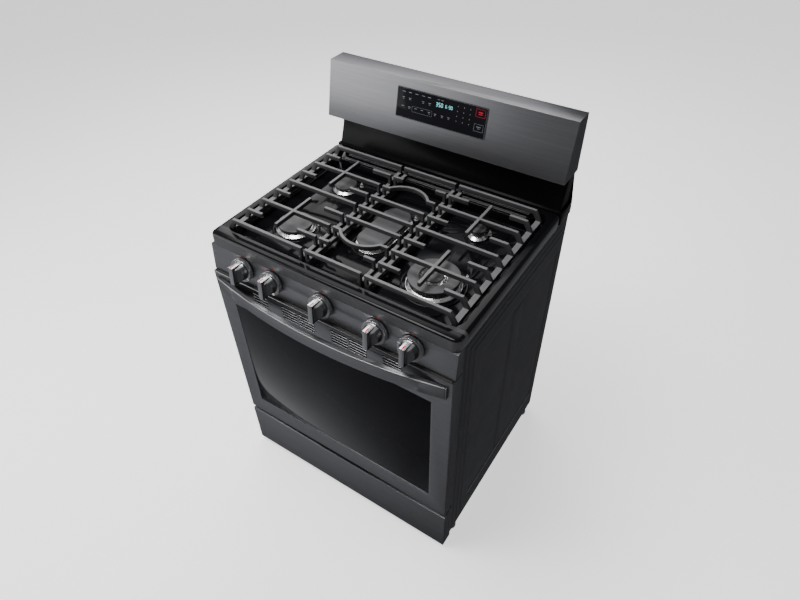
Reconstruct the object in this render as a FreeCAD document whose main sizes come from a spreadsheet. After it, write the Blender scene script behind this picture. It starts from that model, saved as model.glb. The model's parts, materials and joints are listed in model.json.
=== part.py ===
import FreeCAD, Part
import Sketcher
import os
from FreeCAD import Placement, Rotation, Vector

# Freestanding gas range in millimetres. +Z is up, the door and knobs face -Y, and the origin lies on the
# floor under the middle of the overall box.

doc = FreeCAD.newDocument("gas_range")

# ---------------------------------------------------------------- driving sizes

DRIVING_SIZES = {
    # overall
    "width": 757, "depth": 705, "height": 1187, "cooktop_height": 921, "leg_height": 20,
    # sheet metal and gaps; tools cut past a face, and pieces bite into each other before they are joined
    "skin": 1.2, "side_inset": 2.5, "running_gap": 0.4, "side_space": 68.8, "back_recess": 2.5,
    "rear_step": 2, "past": 5, "bite": 1, "hole_play": 0.5,
    # side sheets
    "rib": 1.2, "rib_inset": 22, "rib_foot": 30, "side_return": 20,
    # base and feet
    "rail_height": 80, "base_setback": 8, "base_gap": 2, "base_plate": 2, "base_flange": 30,
    "cross_gap": 12, "front_cross": 22, "front_cross_height": 6, "leg_side": 16, "leg_front": 40,
    "leg_rear": 45, "leg_pad": 18, "leg_pad_height": 8, "leg_collar": 9, "leg_thread": 5,
    "leg_play": 0.2, "leg_stem": 22, "leg_hole_depth": 8,
    # back cover and gas regulator
    "cover_lift": 40, "hatch_side": 5, "hatch_edge": 3, "hatch_below": 10, "hatch_above": 20,
    "regulator_side": 5, "regulator_width": 70, "regulator_depth": 48, "regulator_height": 45,
    "regulator_lift": 85, "regulator_back": 22, "port_offset": 10, "port_collar": 16, "port_reach": 7,
    "port_bore": 9.5, "bore_inside": 13, "bore_outside": 12,
    # front stack: control panel, door, drawer
    "door_thickness": 43.5, "handle_reach": 48, "drawer_height": 166.5, "door_gap": 15.5,
    "panel_gap": 3, "panel_height": 80, "panel_lean": 8, "seal_gap": 5, "frame_lift": 3,
    "frame_shelf": 45,
    # door
    "window_side": 55.5, "window_below": 68, "window_above": 100, "window_lap": 12, "glass": 4,
    "door_edge": 3, "window_pocket": 10, "handle_height": 40, "handle_drop": 16, "handle_bow": 41,
    "handle_thickness": 16, "handle_side": 16.5, "handle_foot": 27, "handle_cap": 3, "vent_slot": 5.6,
    "vent_pitch": 9.5, "vent_drop": 18, "vent_half": 25.5, "vent_inner": 52.5, "vent_middle": 110.5,
    "vent_outer": 211, "tray_depth": 14, "inner_window_side": 85, "inner_window_end": 50, "seal": 8,
    "seal_reach": 16,
    # door hinges
    "hinge_inset": 60, "hinge_pin": 8, "pin_play": 0.05, "hinge_set": 17, "hinge_lift": 10,
    "arm_half": 3, "arm_half_height": 5, "arm_plate": 1.5, "arm_plate_width": 14, "arm_plate_top": 8,
    "pin_length": 18, "block_side": 19, "block_gap": 0.8, "block_back": 8, "block_height": 40,
    "slot_side": 20, "slot_gap": 2, "slot_top": 9, "heel_set": 12.5,
    # oven
    "oven_back_space": 132.3, "cavity_below": 48, "cavity_above": 99, "insulation": 30, "ledge": 8,
    "ledge_height": 7, "ledge_end": 15, "rack_ledge_end": 25, "ledge_pitch": 66, "oven_floor_rise": 34,
    "floor_plate": 1.5, "floor_side": 1, "floor_front": 12, "floor_back": 2, "floor_slot_side": 28,
    "floor_slot_width": 12, "floor_slot_length": 40, "floor_slot_start": 60, "floor_slot_pitch": 62,
    "bake_height": 17, "bake_tube": 11, "bake_front": 60, "bake_foot": 12, "bake_foot_half": 10,
    "bake_foot_front": 90, "bake_foot_back": 60, "broil_half": 95, "broil_front": 90, "broil_back": 70,
    "broil_drop": 26, "broil_thickness": 14, "broil_arm": 8, "broil_arm_front": 110,
    "broil_arm_back": 100, "broil_feed": 7,
    # oven racks
    "rack_wire": 5, "rack_grid_wire": 3, "rack_side": 4, "rack_front": 27, "rack_back": 45,
    # cooktop
    "skirt": 37, "cooktop_overhang": 26.5, "cooktop_inset": 0.5, "cooktop_corner": 20,
    "cooktop_edge": 9, "enamel": 1.5, "rim": 24.5, "rim_front": 36, "rim_back": 23, "well_depth": 29,
    "well_corner": 30, "platform": 2.5, "platform_inset": 67, "platform_front": 27, "platform_back": 8,
    "platform_corner": 25, "backguard_foot": 77, "flue_half": 120, "flue_front": 18, "flue_back": 8,
    # oven vent
    "vent_depth": 56, "vent_rear_inset": 23, "vent_front_inset": 45, "vent_rear_gap": 4, "vent_wall": 2,
    "vent_slot_side": 4, "vent_top": 3, "vent_slot_front": 7, "vent_slot_width": 13,
    "vent_slot_pitch": 21, "vent_slot_growth": 3,
    # grates
    "grate_height": 31, "finger": 8, "finger_depth": 12, "grate_gap": 9, "grate_front_gap": 14,
    "grate_back_gap": 38, "centre_grate": 85, "grate_split": 11, "rail": 11, "rail_depth": 12,
    "rail_top": 1, "fin_sink": 4, "fin_width": 12, "fin_lean": 17, "foot_length": 20, "vent_rail": 9,
    "cross_arm": 71, "short_inner": 61, "short_outer": 50, "outer_rail": 15, "outer_rail_depth": 14,
    "outer_foot": 24, "outer_rail_end": 1, "burner_inset": 127, "arc_half": 62, "arc_rise": 32,
    "arc_lap": 3, "short_centre": 32, "centre_rail": 10,
    # burners
    "cap": 6, "cap_lip": 5, "lip_inset": 10, "lip_wall": 3, "large_cap": 47.5, "small_cap": 32.5,
    "oval_cap": 41, "oval_length": 110, "oval_shift": 6, "simmer_cap": 20.5, "ring_cap": 65,
    "ring_hole": 36.5, "ring_centre": 24, "cap_height": 20.5, "simmer_height": 27.5,
    "ring_height": 28.5, "flange": 5, "flange_height": 3, "ring_floor": 4, "wall_inset": 3,
    "channel_inset": 9, "channel_depth": 9, "mixing_tube": 18, "mixing_drop": 24, "throat": 14,
    "ring_throat": 10,
    # spark igniters
    "igniter": 3.5, "igniter_gap": 7, "igniter_share": 0.8, "igniter_drop": 20, "igniter_rise": 9,
    "igniter_collar": 5.5, "igniter_collar_height": 2, "igniter_tip": 1.2, "igniter_tip_rise": 14,
    # knobs, stems and valves
    "knob_inner": 162, "knob_pitch": 100, "knob_lift": 6, "knob_radius": 33, "knob_disc": 12,
    "knob_reach": 48, "knob_gap": 3.5, "grip": 14, "grip_half": 27, "hub_foot": 26, "hub_shoulder": 21,
    "hub_crown": 15, "hub_slope": 8, "hub_drop": 4, "scoop": 17, "scoop_offset": 19, "scoop_drop": 3,
    "stem": 8, "stem_hole": 6, "stem_grip": 27, "stem_depth": 32, "stem_end_gap": 3.5, "valve": 11,
    "valve_near": 14, "valve_far": 44, "valve_end": 4,
    # gas pipes
    "manifold": 9, "manifold_saddle": 0.3, "manifold_end": 40, "manifold_foot": 10,
    "manifold_foot_depth": 6, "pipe": 8, "pipe_elbow": 9.5, "pipe_side": 20, "pipe_back": 45,
    "pipe_sink": 6, "pipe_lap": 4,
    # backguard
    "housing_height": 159, "housing_lean": 34, "housing_top": 60, "housing_back": 16, "housing_wall": 2,
    "housing_chin_wall": 6, "housing_return": 18, "housing_return_drop": 4, "housing_foot": 15,
    "housing_port_half": 60, "housing_port_gap": 8, "housing_chamfer": 18, "riser_inset": 8.5,
    "riser_wall": 1.5, "riser_lip": 30, "riser_step": 6, "riser_step_height": 4, "riser_bend": 5,
    "riser_bend_drop": 30, "touch_width": 280, "touch_height": 83, "touch_drop": 24,
    "touch_thickness": 2, "touch_corner": 3,
    # drawer
    "drawer_back_space": 110.5, "drawer_wall": 110, "drawer_inset": 45, "drawer_lift": 20, "runner": 2,
    "runner_lap": 0.5, "runner_gap": 4, "hook_depth": 8, "hook_height": 22.8, "hook_top": 20,
    # cover screws
    "screw": 4, "screw_side": 30, "screw_foot": 60, "screw_head": 20,
}

sheet = doc.addObject("Spreadsheet::Sheet", "Sizes")
for row, (alias, number) in enumerate(DRIVING_SIZES.items(), start=1):
    sheet.set("A%d" % row, alias)
    sheet.set("B%d" % row, str(number))
    sheet.setAlias("B%d" % row, alias)
doc.recompute()


class Size:
    """A length worked out from the sheet: the expression that is bound, and its present value."""

    def __init__(self, text, value):
        self.text = text
        self.value = value

    def __add__(self, other):
        return combine(self, "+", other, self.value + lift(other).value)

    def __sub__(self, other):
        return combine(self, "-", other, self.value - lift(other).value)

    def __mul__(self, other):
        return combine(self, "*", other, self.value * lift(other).value)

    def __truediv__(self, other):
        return combine(self, "/", other, self.value / lift(other).value)

    def __radd__(self, other):
        return lift(other) + self

    def __rsub__(self, other):
        return lift(other) - self

    def __rmul__(self, other):
        return lift(other) * self

    def __neg__(self):
        return lift(0) - self


def lift(number):
    return number if isinstance(number, Size) else Size(repr(number), number)


def combine(first, sign, second, value):
    return Size("(%s %s %s)" % (first.text, sign, lift(second).text), value)


class Sheet:
    """Gives each alias of the sheet as a Size."""

    def __getattr__(self, alias):
        return Size("Sizes." + alias, DRIVING_SIZES[alias])


S = Sheet()
ZERO = Size("0", 0)

# ---------------------------------------------------------------- places worked out from the sizes

half = S.width / 2
back = S.depth / 2
door_front = -back + S.handle_reach
body_front = door_front + S.door_thickness
side_out = half - S.side_inset
side_face = side_out - S.rib
side_in = side_face - S.skin

drawer_top = S.leg_height + S.drawer_height
skirt_bottom = S.cooktop_height - S.skirt
panel_bottom = skirt_bottom - S.panel_height
door_bottom = drawer_top + S.door_gap
door_top = panel_bottom - S.panel_gap

cavity_half = side_in - S.side_space
cavity_bottom = door_bottom + S.cavity_below
cavity_top = door_top - S.cavity_above
cavity_front = body_front + S.skin
cavity_back = back - S.oven_back_space
oven_floor = cavity_bottom + S.oven_floor_rise

cooktop_front = body_front - S.cooktop_overhang
cooktop_back = back - S.backguard_foot
well_half = half - S.rim
well_front = cooktop_front + S.rim_front
well_back = cooktop_back - S.rim_back
well_floor = S.cooktop_height - S.well_depth
platform_half = well_half - S.platform_inset
platform_top = well_floor + S.platform
vent_front = well_back - S.vent_depth

grate_top = S.cooktop_height + S.grate_height
finger_bottom = grate_top - S.finger_depth
grate_out = well_half - S.grate_gap
grate_front = well_front + S.grate_front_gap
grate_back = well_back - S.grate_back_gap
last_row = 8
row_pitch = (grate_back - grate_front) / last_row
rail_top = S.cooktop_height + S.rail_top
side_grate_in = S.centre_grate + S.grate_split
burner_x = grate_out - S.burner_inset

panel_front = cooktop_front
knob_z = (skirt_bottom + panel_bottom) / 2 + S.knob_lift
knob_y = panel_front - S.panel_lean * (skirt_bottom - knob_z) / S.panel_height
hinge_y = door_front + S.hinge_set
hinge_z = door_bottom + S.hinge_lift


def row(index):
    """The Y of a grate finger, counted from the front."""
    return grate_front + row_pitch * index


# ---------------------------------------------------------------- drawing helpers

TURN_TO = {"x": Rotation(Vector(0, 1, 0), 90), "y": Rotation(Vector(1, 0, 0), -90), "z": Rotation()}
ABOUT_X = Rotation(Vector(1, 0, 0), 45)
ON_EDGE = Rotation(Vector(0, 1, 0), 45)
TOUCHING = 0.01
parts = []


def bind(thing, prop, size):
    thing.setExpression(prop, lift(size).text)


def move(thing, x, y, z):
    for axis, size in zip("xyz", (x, y, z)):
        bind(thing, "Placement.Base." + axis, size)
    return thing


def box(x, y, z):
    """A box between the low and high limits of each axis."""
    solid = doc.addObject("Part::Box", "Box")
    for side, (low, high) in zip(("Length", "Width", "Height"), (x, y, z)):
        bind(solid, side, high - low)
    return move(solid, x[0], y[0], z[0])


def rod(axis, radius, along, centre):
    """A cylinder along an axis between two limits; centre gives the other two places in X, Y, Z order."""
    solid = doc.addObject("Part::Cylinder", "Rod")
    solid.Placement = Placement(Vector(), TURN_TO[axis])
    bind(solid, "Radius", radius)
    bind(solid, "Height", along[1] - along[0])
    places = list(centre)
    places.insert("xyz".index(axis), along[0])
    return move(solid, *places)


def fuse(*pieces):
    joined = doc.addObject("Part::MultiFuse", "Fuse")
    joined.Shapes = list(pieces)
    joined.Refine = True
    return joined


def cut(base, *tools):
    carved = doc.addObject("Part::Cut", "Cut")
    carved.Base = base
    carved.Tool = tools[0] if len(tools) == 1 else fuse(*tools)
    carved.Refine = True
    return carved


def common(first, second):
    shared = doc.addObject("Part::Common", "Common")
    shared.Base = first
    shared.Tool = second
    return shared


def group(*pieces):
    together = doc.addObject("Part::Compound", "Group")
    together.Links = list(pieces)
    return together


def part(label, thing):
    """Names a finished sub-part; its label is its node's name."""
    thing.Label = label
    parts.append(thing)
    return thing


def shell(x, y, z, wall, open_side=None):
    """A thin-walled box, open on one side such as '-y'."""
    limits = dict(zip("xyz", (x, y, z)))
    inner = {axis: [low + wall, high - wall] for axis, (low, high) in limits.items()}
    if open_side:
        end = 0 if open_side[0] == "-" else 1
        inner[open_side[1]][end] = limits[open_side[1]][end] + (-S.past if end == 0 else S.past)
    return cut(box(x, y, z), box(inner["x"], inner["y"], inner["z"]))


def frame(x, y, z, opening_x, opening_z):
    """A flat plate facing the front, with a rectangular opening."""
    return cut(box(x, y, z), box(opening_x, (y[0] - S.past, y[1] + S.past), opening_z))


def both(size):
    return (-size, size)


def beside(side, inner, outer):
    """Limits on the right (side 1) or mirrored to the left (side -1)."""
    return (inner, outer) if side > 0 else (-outer, -inner)


def new_sketch(body, plane):
    drawing = body.newObject("Sketcher::SketchObject", "Sketch")
    face = next(item for item in body.Origin.OriginFeatures if item.Role == plane)
    drawing.AttachmentSupport = [(face, "")]
    drawing.MapMode = "FlatFace"
    return drawing


def outline(drawing, points):
    """A closed outline of straight lines whose corners are bound to the sheet."""
    count = len(points)
    start = drawing.GeometryCount
    spots = [Vector(lift(u).value, lift(v).value, 0) for u, v in points]
    for index in range(count):
        drawing.addGeometry(Part.LineSegment(spots[index], spots[(index + 1) % count]), False)
    for index, (u, v) in enumerate(points):
        line = start + index
        following = start + (index + 1) % count
        drawing.addConstraint(Sketcher.Constraint("Coincident", line, 2, following, 1))
        for kind, size in (("DistanceX", u), ("DistanceY", v)):
            number = drawing.addConstraint(Sketcher.Constraint(kind, -1, 1, line, 1, lift(size).value))
            drawing.setExpression("Constraints[%d]" % number, lift(size).text)


def pad(body, drawing, length, midplane=False):
    feature = body.newObject("PartDesign::Pad", "Pad")
    feature.Profile = drawing
    bind(feature, "Length", length)
    feature.SideType = "Symmetric" if midplane else "One side"
    return feature


def prism(points, width):
    """A side profile of (Y, Z) points, extruded by a width that is centred on the middle plane."""
    body = doc.addObject("PartDesign::Body", "Prism")
    drawing = new_sketch(body, "YZ_Plane")
    outline(drawing, points)
    pad(body, drawing, width, midplane=True)
    return body


def lathe(profile):
    """A profile of (radius, height) points, turned about its own vertical axis."""
    body = doc.addObject("PartDesign::Body", "Lathe")
    drawing = new_sketch(body, "XZ_Plane")
    outline(drawing, profile)
    turned = body.newObject("PartDesign::Revolution", "Revolution")
    turned.Profile = drawing
    turned.ReferenceAxis = (drawing, ["V_Axis"])
    return body


def rounded(x, y, z, corner, top=None):
    """A box with rounded upright corners and, when asked, a rounded top edge."""
    body = doc.addObject("PartDesign::Body", "Rounded")
    drawing = new_sketch(body, "XY_Plane")
    outline(drawing, [(x[0], y[0]), (x[1], y[0]), (x[1], y[1]), (x[0], y[1])])
    solid = pad(body, drawing, z[1] - z[0])
    for radius, wanted in ((corner, is_upright), (top, is_at_top)):
        if radius is None:
            continue
        doc.recompute()
        edges = ["Edge%d" % (n + 1) for n, edge in enumerate(solid.Shape.Edges) if wanted(edge, solid.Shape)]
        rounding = body.newObject("PartDesign::Fillet", "Fillet")
        rounding.Base = (solid, edges)
        bind(rounding, "Radius", radius)
        solid = rounding
    return move(body, 0, 0, z[0])


def is_upright(edge, shape):
    return edge.BoundBox.ZLength > shape.BoundBox.ZLength - TOUCHING


def is_at_top(edge, shape):
    return edge.BoundBox.ZMin > shape.BoundBox.ZMax - TOUCHING

# ---------------------------------------------------------------- cabinet


def side_panel(side):
    """Painted side sheet with a rear return, and three ribs that follow its top and front edges."""
    sheet_part = box(beside(side, side_in, side_face), (body_front, back), (S.leg_height, skirt_bottom))
    rear = box(beside(side, side_face - S.side_return, side_face), (back - S.skin, back),
               (S.leg_height, skirt_bottom))
    pieces = [sheet_part, rear]
    for number in (1, 2, 3):
        rib_y = body_front + S.rib_inset * number
        rib_z = skirt_bottom - S.rib_inset * number
        pieces.append(rod("y", S.rib, (rib_y, back - S.side_return), (side * side_face, rib_z)))
        pieces.append(rod("z", S.rib, (S.leg_height + S.rib_foot, rib_z), (side * side_face, rib_y)))
    return fuse(*pieces)


part("side_panel_left", side_panel(-1))
part("side_panel_right", side_panel(1))

cover_y = (back - S.back_recess - S.skin, back - S.back_recess)
cover_z = (S.leg_height + S.cover_lift, skirt_bottom)
regulator_right = side_in - S.regulator_side
regulator_x = (regulator_right - S.regulator_width, regulator_right)
regulator_low = S.leg_height + S.regulator_lift
regulator_z = (regulator_low, regulator_low + S.regulator_height)
gas_hatch = box((regulator_x[0] - S.hatch_side, side_in - S.hatch_edge), (cover_y[0] - S.past, back + S.past),
                (regulator_z[0] - S.hatch_below, regulator_z[1] + S.hatch_above))
part("back_cover", cut(box(both(side_in), cover_y, cover_z), gas_hatch))

rail_top_z = S.leg_height + S.rail_height
base_y = (body_front + S.base_setback, cover_y[0] - S.base_gap)


def base_channel(side):
    """C-shaped side channel; the drawer's runners ride on its top flange."""
    flange_x = beside(side, side_in - S.base_flange, side_in)
    wall = box(beside(side, side_in - S.base_plate, side_in), base_y, (S.leg_height, rail_top_z))
    foot = box(flange_x, base_y, (S.leg_height, S.leg_height + S.base_plate))
    rail = box(flange_x, base_y, (rail_top_z - S.base_plate, rail_top_z))
    return [wall, foot, rail]


cross_x = both(side_in - S.base_plate)
rear_cross_y = cover_y[0] - S.cross_gap
leg_places = [(side * (side_in - S.leg_side), y)
              for side in (-1, 1) for y in (body_front + S.leg_front, back - S.leg_rear)]
base = fuse(
    *base_channel(-1), *base_channel(1),
    box(cross_x, (rear_cross_y - S.base_plate, rear_cross_y), (S.leg_height, rail_top_z)),
    box(cross_x, (base_y[0], base_y[0] + S.front_cross), (S.leg_height, S.leg_height + S.front_cross_height)))
leg_hole_z = (S.leg_height - S.bite, S.leg_height + S.leg_hole_depth)
leg_holes = [rod("z", S.leg_thread + S.leg_play, leg_hole_z, place) for place in leg_places]
part("base_frame", cut(base, *leg_holes))


def levelling_leg(x, y):
    """Screw-in foot: a pad, a collar and a threaded stem."""
    pad_middle = S.leg_pad_height / 2
    return fuse(rod("z", S.leg_pad, (ZERO, S.leg_pad_height), (x, y)),
                rod("z", S.leg_collar, (pad_middle, S.leg_height), (x, y)),
                rod("z", S.leg_thread, (pad_middle, S.leg_height + S.leg_stem), (x, y)))


part("levelling_legs", group(*[levelling_leg(x, y) for x, y in leg_places]))

front_plate = frame(both(side_in), (body_front, cavity_front), (drawer_top + S.frame_lift, panel_bottom),
                    both(cavity_half), (cavity_bottom, cavity_top))
frame_shelf = box(both(side_in), (cavity_front, cavity_front + S.frame_shelf),
                  (panel_bottom - S.skin, panel_bottom))
part("front_frame", fuse(front_plate, frame_shelf))

# ---------------------------------------------------------------- oven

liner_x = both(cavity_half + S.skin)
liner_y = (cavity_front, cavity_back + S.skin)
liner_z = (cavity_bottom - S.skin, cavity_top + S.skin)
ledges = []
for side in (-1, 1):
    ledge_x = beside(side, cavity_half - S.ledge, cavity_half + S.skin / 2)
    ledges.append(box(ledge_x, (cavity_front + S.ledge_end, cavity_back - S.ledge_end),
                      (oven_floor - S.ledge_height, oven_floor)))
    for level in (1, 2, 3, 4, 5):
        top = oven_floor + S.ledge_pitch * level
        ledges.append(box(ledge_x, (cavity_front + S.rack_ledge_end, cavity_back - S.rack_ledge_end),
                          (top - S.ledge_height, top)))
part("oven_liner", fuse(shell(liner_x, liner_y, liner_z, S.skin, open_side="-y"), *ledges))

floor_plate = box(both(cavity_half - S.floor_side),
                  (cavity_front + S.floor_front, cavity_back - S.floor_back),
                  (oven_floor, oven_floor + S.floor_plate))
slot_out = cavity_half - S.floor_slot_side
floor_slots = []
for side in (-1, 1):
    for number in (0, 1, 2, 3, 4, 5):
        slot_front = cavity_front + S.floor_slot_start + S.floor_slot_pitch * number
        floor_slots.append(box(beside(side, slot_out - S.floor_slot_width, slot_out),
                               (slot_front, slot_front + S.floor_slot_length),
                               (oven_floor - S.past, oven_floor + S.past)))
part("oven_floor", cut(floor_plate, *floor_slots))

bake_z = cavity_bottom + S.bake_height
bake_tube = rod("y", S.bake_tube, (cavity_front + S.bake_front, cavity_back), (ZERO, bake_z))
bake_feet = [box(both(S.bake_foot_half), (y, y + S.bake_foot), (cavity_bottom, bake_z))
             for y in (cavity_front + S.bake_foot_front, cavity_back - S.bake_foot_back)]
part("bake_burner", fuse(bake_tube, *bake_feet))

broil_z = (cavity_top - S.broil_drop, cavity_top - S.broil_drop + S.broil_thickness)
broil_y = (cavity_front + S.broil_front, cavity_back - S.broil_back)
broil_plate = box(both(S.broil_half), broil_y, broil_z)
broil_arms = [box(both(S.broil_half), (y, y + S.broil_arm), (broil_z[1] - S.bite, cavity_top))
              for y in (cavity_front + S.broil_arm_front, cavity_back - S.broil_arm_back)]
broil_feed = rod("y", S.broil_feed, (broil_y[1] - S.past, cavity_back), (ZERO, (broil_z[0] + broil_z[1]) / 2))
part("broil_burner", fuse(broil_plate, *broil_arms, broil_feed))

blanket_x, blanket_z = [(low - S.insulation, high + S.insulation) for low, high in (liner_x, liner_z)]
part("insulation", cut(box(blanket_x, (cavity_front, liner_y[1] + S.insulation), blanket_z),
                       box(liner_x, (cavity_front - S.past, liner_y[1]), liner_z)))

# ---------------------------------------------------------------- cooktop

outer_half = half - S.cooktop_inset
through_cooktop = (skirt_bottom - S.past, S.cooktop_height)
pressing = rounded(both(outer_half), (cooktop_front, cooktop_back), (skirt_bottom, S.cooktop_height),
                   S.cooktop_corner, top=S.cooktop_edge)
well = rounded(both(well_half), (well_front, well_back), (well_floor, S.cooktop_height + S.past),
               S.well_corner)
under_rim = cut(
    rounded(both(outer_half - S.enamel), (cooktop_front + S.enamel, cooktop_back - S.enamel),
            (skirt_bottom - S.past, S.cooktop_height - S.enamel), S.cooktop_corner - S.enamel,
            top=S.cooktop_edge - S.enamel),
    rounded(both(well_half + S.enamel), (well_front - S.enamel, well_back + S.enamel),
            (well_floor - S.enamel, S.cooktop_height), S.well_corner + S.enamel))
platform = rounded(both(platform_half), (well_front + S.platform_front, vent_front - S.platform_back),
                   (well_floor - S.enamel / 3, platform_top), S.platform_corner)
flue_hole = box(both(S.flue_half), (vent_front + S.flue_front, well_back - S.flue_back), through_cooktop)

# name: centre, cap radius, cap top above the platform, straight length between the two round ends
BURNERS = {
    "left_front": ((-burner_x, row(2)), S.large_cap, S.cap_height, ZERO),
    "left_rear": ((-burner_x, row(6)), S.small_cap, S.cap_height, ZERO),
    "centre": ((ZERO, row(4) - S.oval_shift), S.oval_cap, S.cap_height, S.oval_length),
    "right_rear": ((burner_x, row(6)), S.simmer_cap, S.simmer_height, ZERO),
    "right_front": ((burner_x, row(2)), S.ring_cap, S.ring_height, ZERO),
}
burner_holes = [rod("z", S.mixing_tube + S.hole_play, through_cooktop, centre)
                for centre, *rest in BURNERS.values()]
igniter_places = [(x + radius * S.igniter_share + S.igniter_gap,
                   y + radius * S.igniter_share + straight / 2 + S.igniter_gap)
                  for (x, y), radius, top, straight in BURNERS.values()]
igniter_holes = [rod("z", S.igniter + S.hole_play, through_cooktop, place) for place in igniter_places]
part("cooktop", cut(fuse(cut(pressing, well, under_rim), platform), flue_hole, *burner_holes, *igniter_holes))

# ---------------------------------------------------------------- burners, igniters and vent


def slab(radius, low, high, straight=ZERO):
    """A disc, or a disc stretched along Y when it has a straight length."""
    low, high, radius = lift(low), lift(high), lift(radius)
    if straight.value == 0:
        return rod("z", radius, (low, high), (ZERO, ZERO))
    ends = [rod("z", radius, (low, high), (ZERO, end)) for end in both(straight / 2)]
    return fuse(*ends, box(both(radius), both(straight / 2), (low, high)))


def burner_base(radius, top, straight):
    """Cast aluminium base: foot flange, body, recess for the cap's lip and a mixing tube below."""
    body_top = top - S.cap - S.running_gap
    open_top = body_top + S.bite
    solid = fuse(slab(radius + S.flange, 0, S.flange_height, straight),
                 slab(radius - S.wall_inset, S.flange_height - S.bite, body_top, straight),
                 slab(S.mixing_tube, -S.mixing_drop, S.bite))
    return cut(solid, slab(radius - S.channel_inset, body_top - S.channel_depth, open_top, straight),
               slab(S.throat, -S.mixing_drop - S.past, open_top))


def burner_cap(radius, top, straight=ZERO):
    """Enamelled cap with a lip that drops into the base's recess."""
    under = top - S.cap
    lip_foot = under - S.cap_lip
    plate = slab(radius, under, top, straight)
    lip = slab(radius - S.lip_inset, lip_foot, under + S.bite, straight)
    return cut(fuse(plate, lip), slab(radius - S.lip_inset - S.lip_wall, lip_foot - S.bite, under, straight))


def ring_burner_base(radius, hole, inner, top):
    """Two-ring base: an outer ring wall and an inner post on one floor."""
    body_top = top - S.cap - S.running_gap
    open_top = body_top + S.bite
    channel_foot = body_top - S.channel_depth
    outer = cut(slab(radius - S.wall_inset, S.flange_height, body_top),
                slab(hole + S.wall_inset, S.flange_height + S.bite, open_top))
    channel = cut(slab(radius - S.channel_inset, channel_foot, open_top),
                  slab(hole + S.channel_inset, channel_foot - S.bite, open_top + S.bite))
    post = cut(slab(inner - S.wall_inset, S.flange_height, body_top),
               slab(inner - S.channel_inset, channel_foot, open_top))
    solid = fuse(slab(radius + S.flange, 0, S.ring_floor), cut(outer, channel), post,
                 slab(S.mixing_tube, -S.mixing_drop, S.bite))
    return cut(solid, slab(S.ring_throat, -S.mixing_drop - S.past, open_top))


def ring_cap(radius, hole, top):
    """Ring-shaped cap with a lip below."""
    under = top - S.cap
    lip_foot = under - S.cap_lip
    ring = cut(slab(radius, under, top), slab(hole, under - S.bite, top + S.bite))
    lip = cut(slab(radius - S.lip_inset, lip_foot, under + S.bite),
              slab(hole + S.lip_inset, lip_foot - S.bite, under + 2 * S.bite))
    return fuse(ring, lip)


for name, ((x, y), radius, top, straight) in BURNERS.items():
    if name == "right_front":
        base_part = ring_burner_base(radius, S.ring_hole, S.ring_centre, top)
        caps = {"_outer": ring_cap(radius, S.ring_hole, top), "_inner": burner_cap(S.ring_centre, top)}
    else:
        base_part = burner_base(radius, top, straight)
        caps = {"": burner_cap(radius, top, straight)}
    part("burner_base_" + name, move(base_part, x, y, platform_top))
    for suffix, cap in caps.items():
        part("burner_cap_" + name + suffix, move(cap, x, y, platform_top))


def igniter(place):
    """Ceramic body with a collar that sits on the cooktop, and a wire tip."""
    body_end = platform_top + S.igniter_rise
    return fuse(rod("z", S.igniter, (platform_top - S.igniter_drop, body_end), place),
                rod("z", S.igniter_collar, (platform_top, platform_top + S.igniter_collar_height), place),
                rod("z", S.igniter_tip, (body_end - S.bite, platform_top + S.igniter_tip_rise), place))


part("spark_igniters", group(*[igniter(place) for place in igniter_places]))

vent_rear_half = well_half - S.vent_rear_inset
vent_front_half = well_half - S.vent_front_inset
vent_rear = well_back - S.vent_rear_gap
vent_body = doc.addObject("PartDesign::Body", "Vent")
vent_plan = new_sketch(vent_body, "XY_Plane")
outline(vent_plan, [(-vent_front_half, vent_front), (vent_front_half, vent_front),
                    (vent_rear_half, vent_rear), (-vent_rear_half, vent_rear)])
pad(vent_body, vent_plan, S.well_depth)
move(vent_body, 0, 0, well_floor)
vent_inner_half = vent_front_half - S.vent_slot_side
vent_hollow = box(both(vent_inner_half), (vent_front + S.vent_wall, vent_rear - S.vent_wall),
                  (well_floor - S.bite, S.cooktop_height - S.vent_top))
vent_slots = []
for number in (0, 1):
    slot_front = vent_front + S.vent_slot_front + S.vent_slot_pitch * number
    vent_slots.append(box(both(vent_inner_half + S.vent_slot_growth * number),
                          (slot_front, slot_front + S.vent_slot_width),
                          (S.cooktop_height - S.past, S.cooktop_height + S.past)))
part("rear_vent", cut(vent_body, vent_hollow, *vent_slots))

# ---------------------------------------------------------------- grates


def fins(side, x_top, x_foot):
    """The leg fins along the outer side of a grate: one in the plane of each finger."""
    body = doc.addObject("PartDesign::Body", "Fins")
    drawing = new_sketch(body, "XZ_Plane")
    fin_foot = rail_top - S.fin_sink
    outline(drawing, [(side * x_top, grate_top), (side * x_foot, rail_top), (side * x_foot, fin_foot),
                      (side * (x_foot - S.fin_width), fin_foot), (side * (x_top - S.finger), finger_bottom),
                      (side * (x_top - S.finger), grate_top)])
    pad(body, drawing, S.finger, midplane=True)
    doc.recompute()
    pattern = body.newObject("PartDesign::LinearPattern", "Rows")
    pattern.Originals = [body.Tip]
    pattern.Direction = (drawing, ["N_Axis"])
    pattern.Reversed = True
    bind(pattern, "Length", row_pitch * last_row)
    pattern.Occurrences = last_row + 1
    body.Tip = pattern
    return move(body, 0, grate_front, 0)


def bar(x, index):
    """One finger along X at a numbered row."""
    return box(x, (row(index) - S.finger / 2, row(index) + S.finger / 2), (finger_bottom, grate_top))


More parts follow.
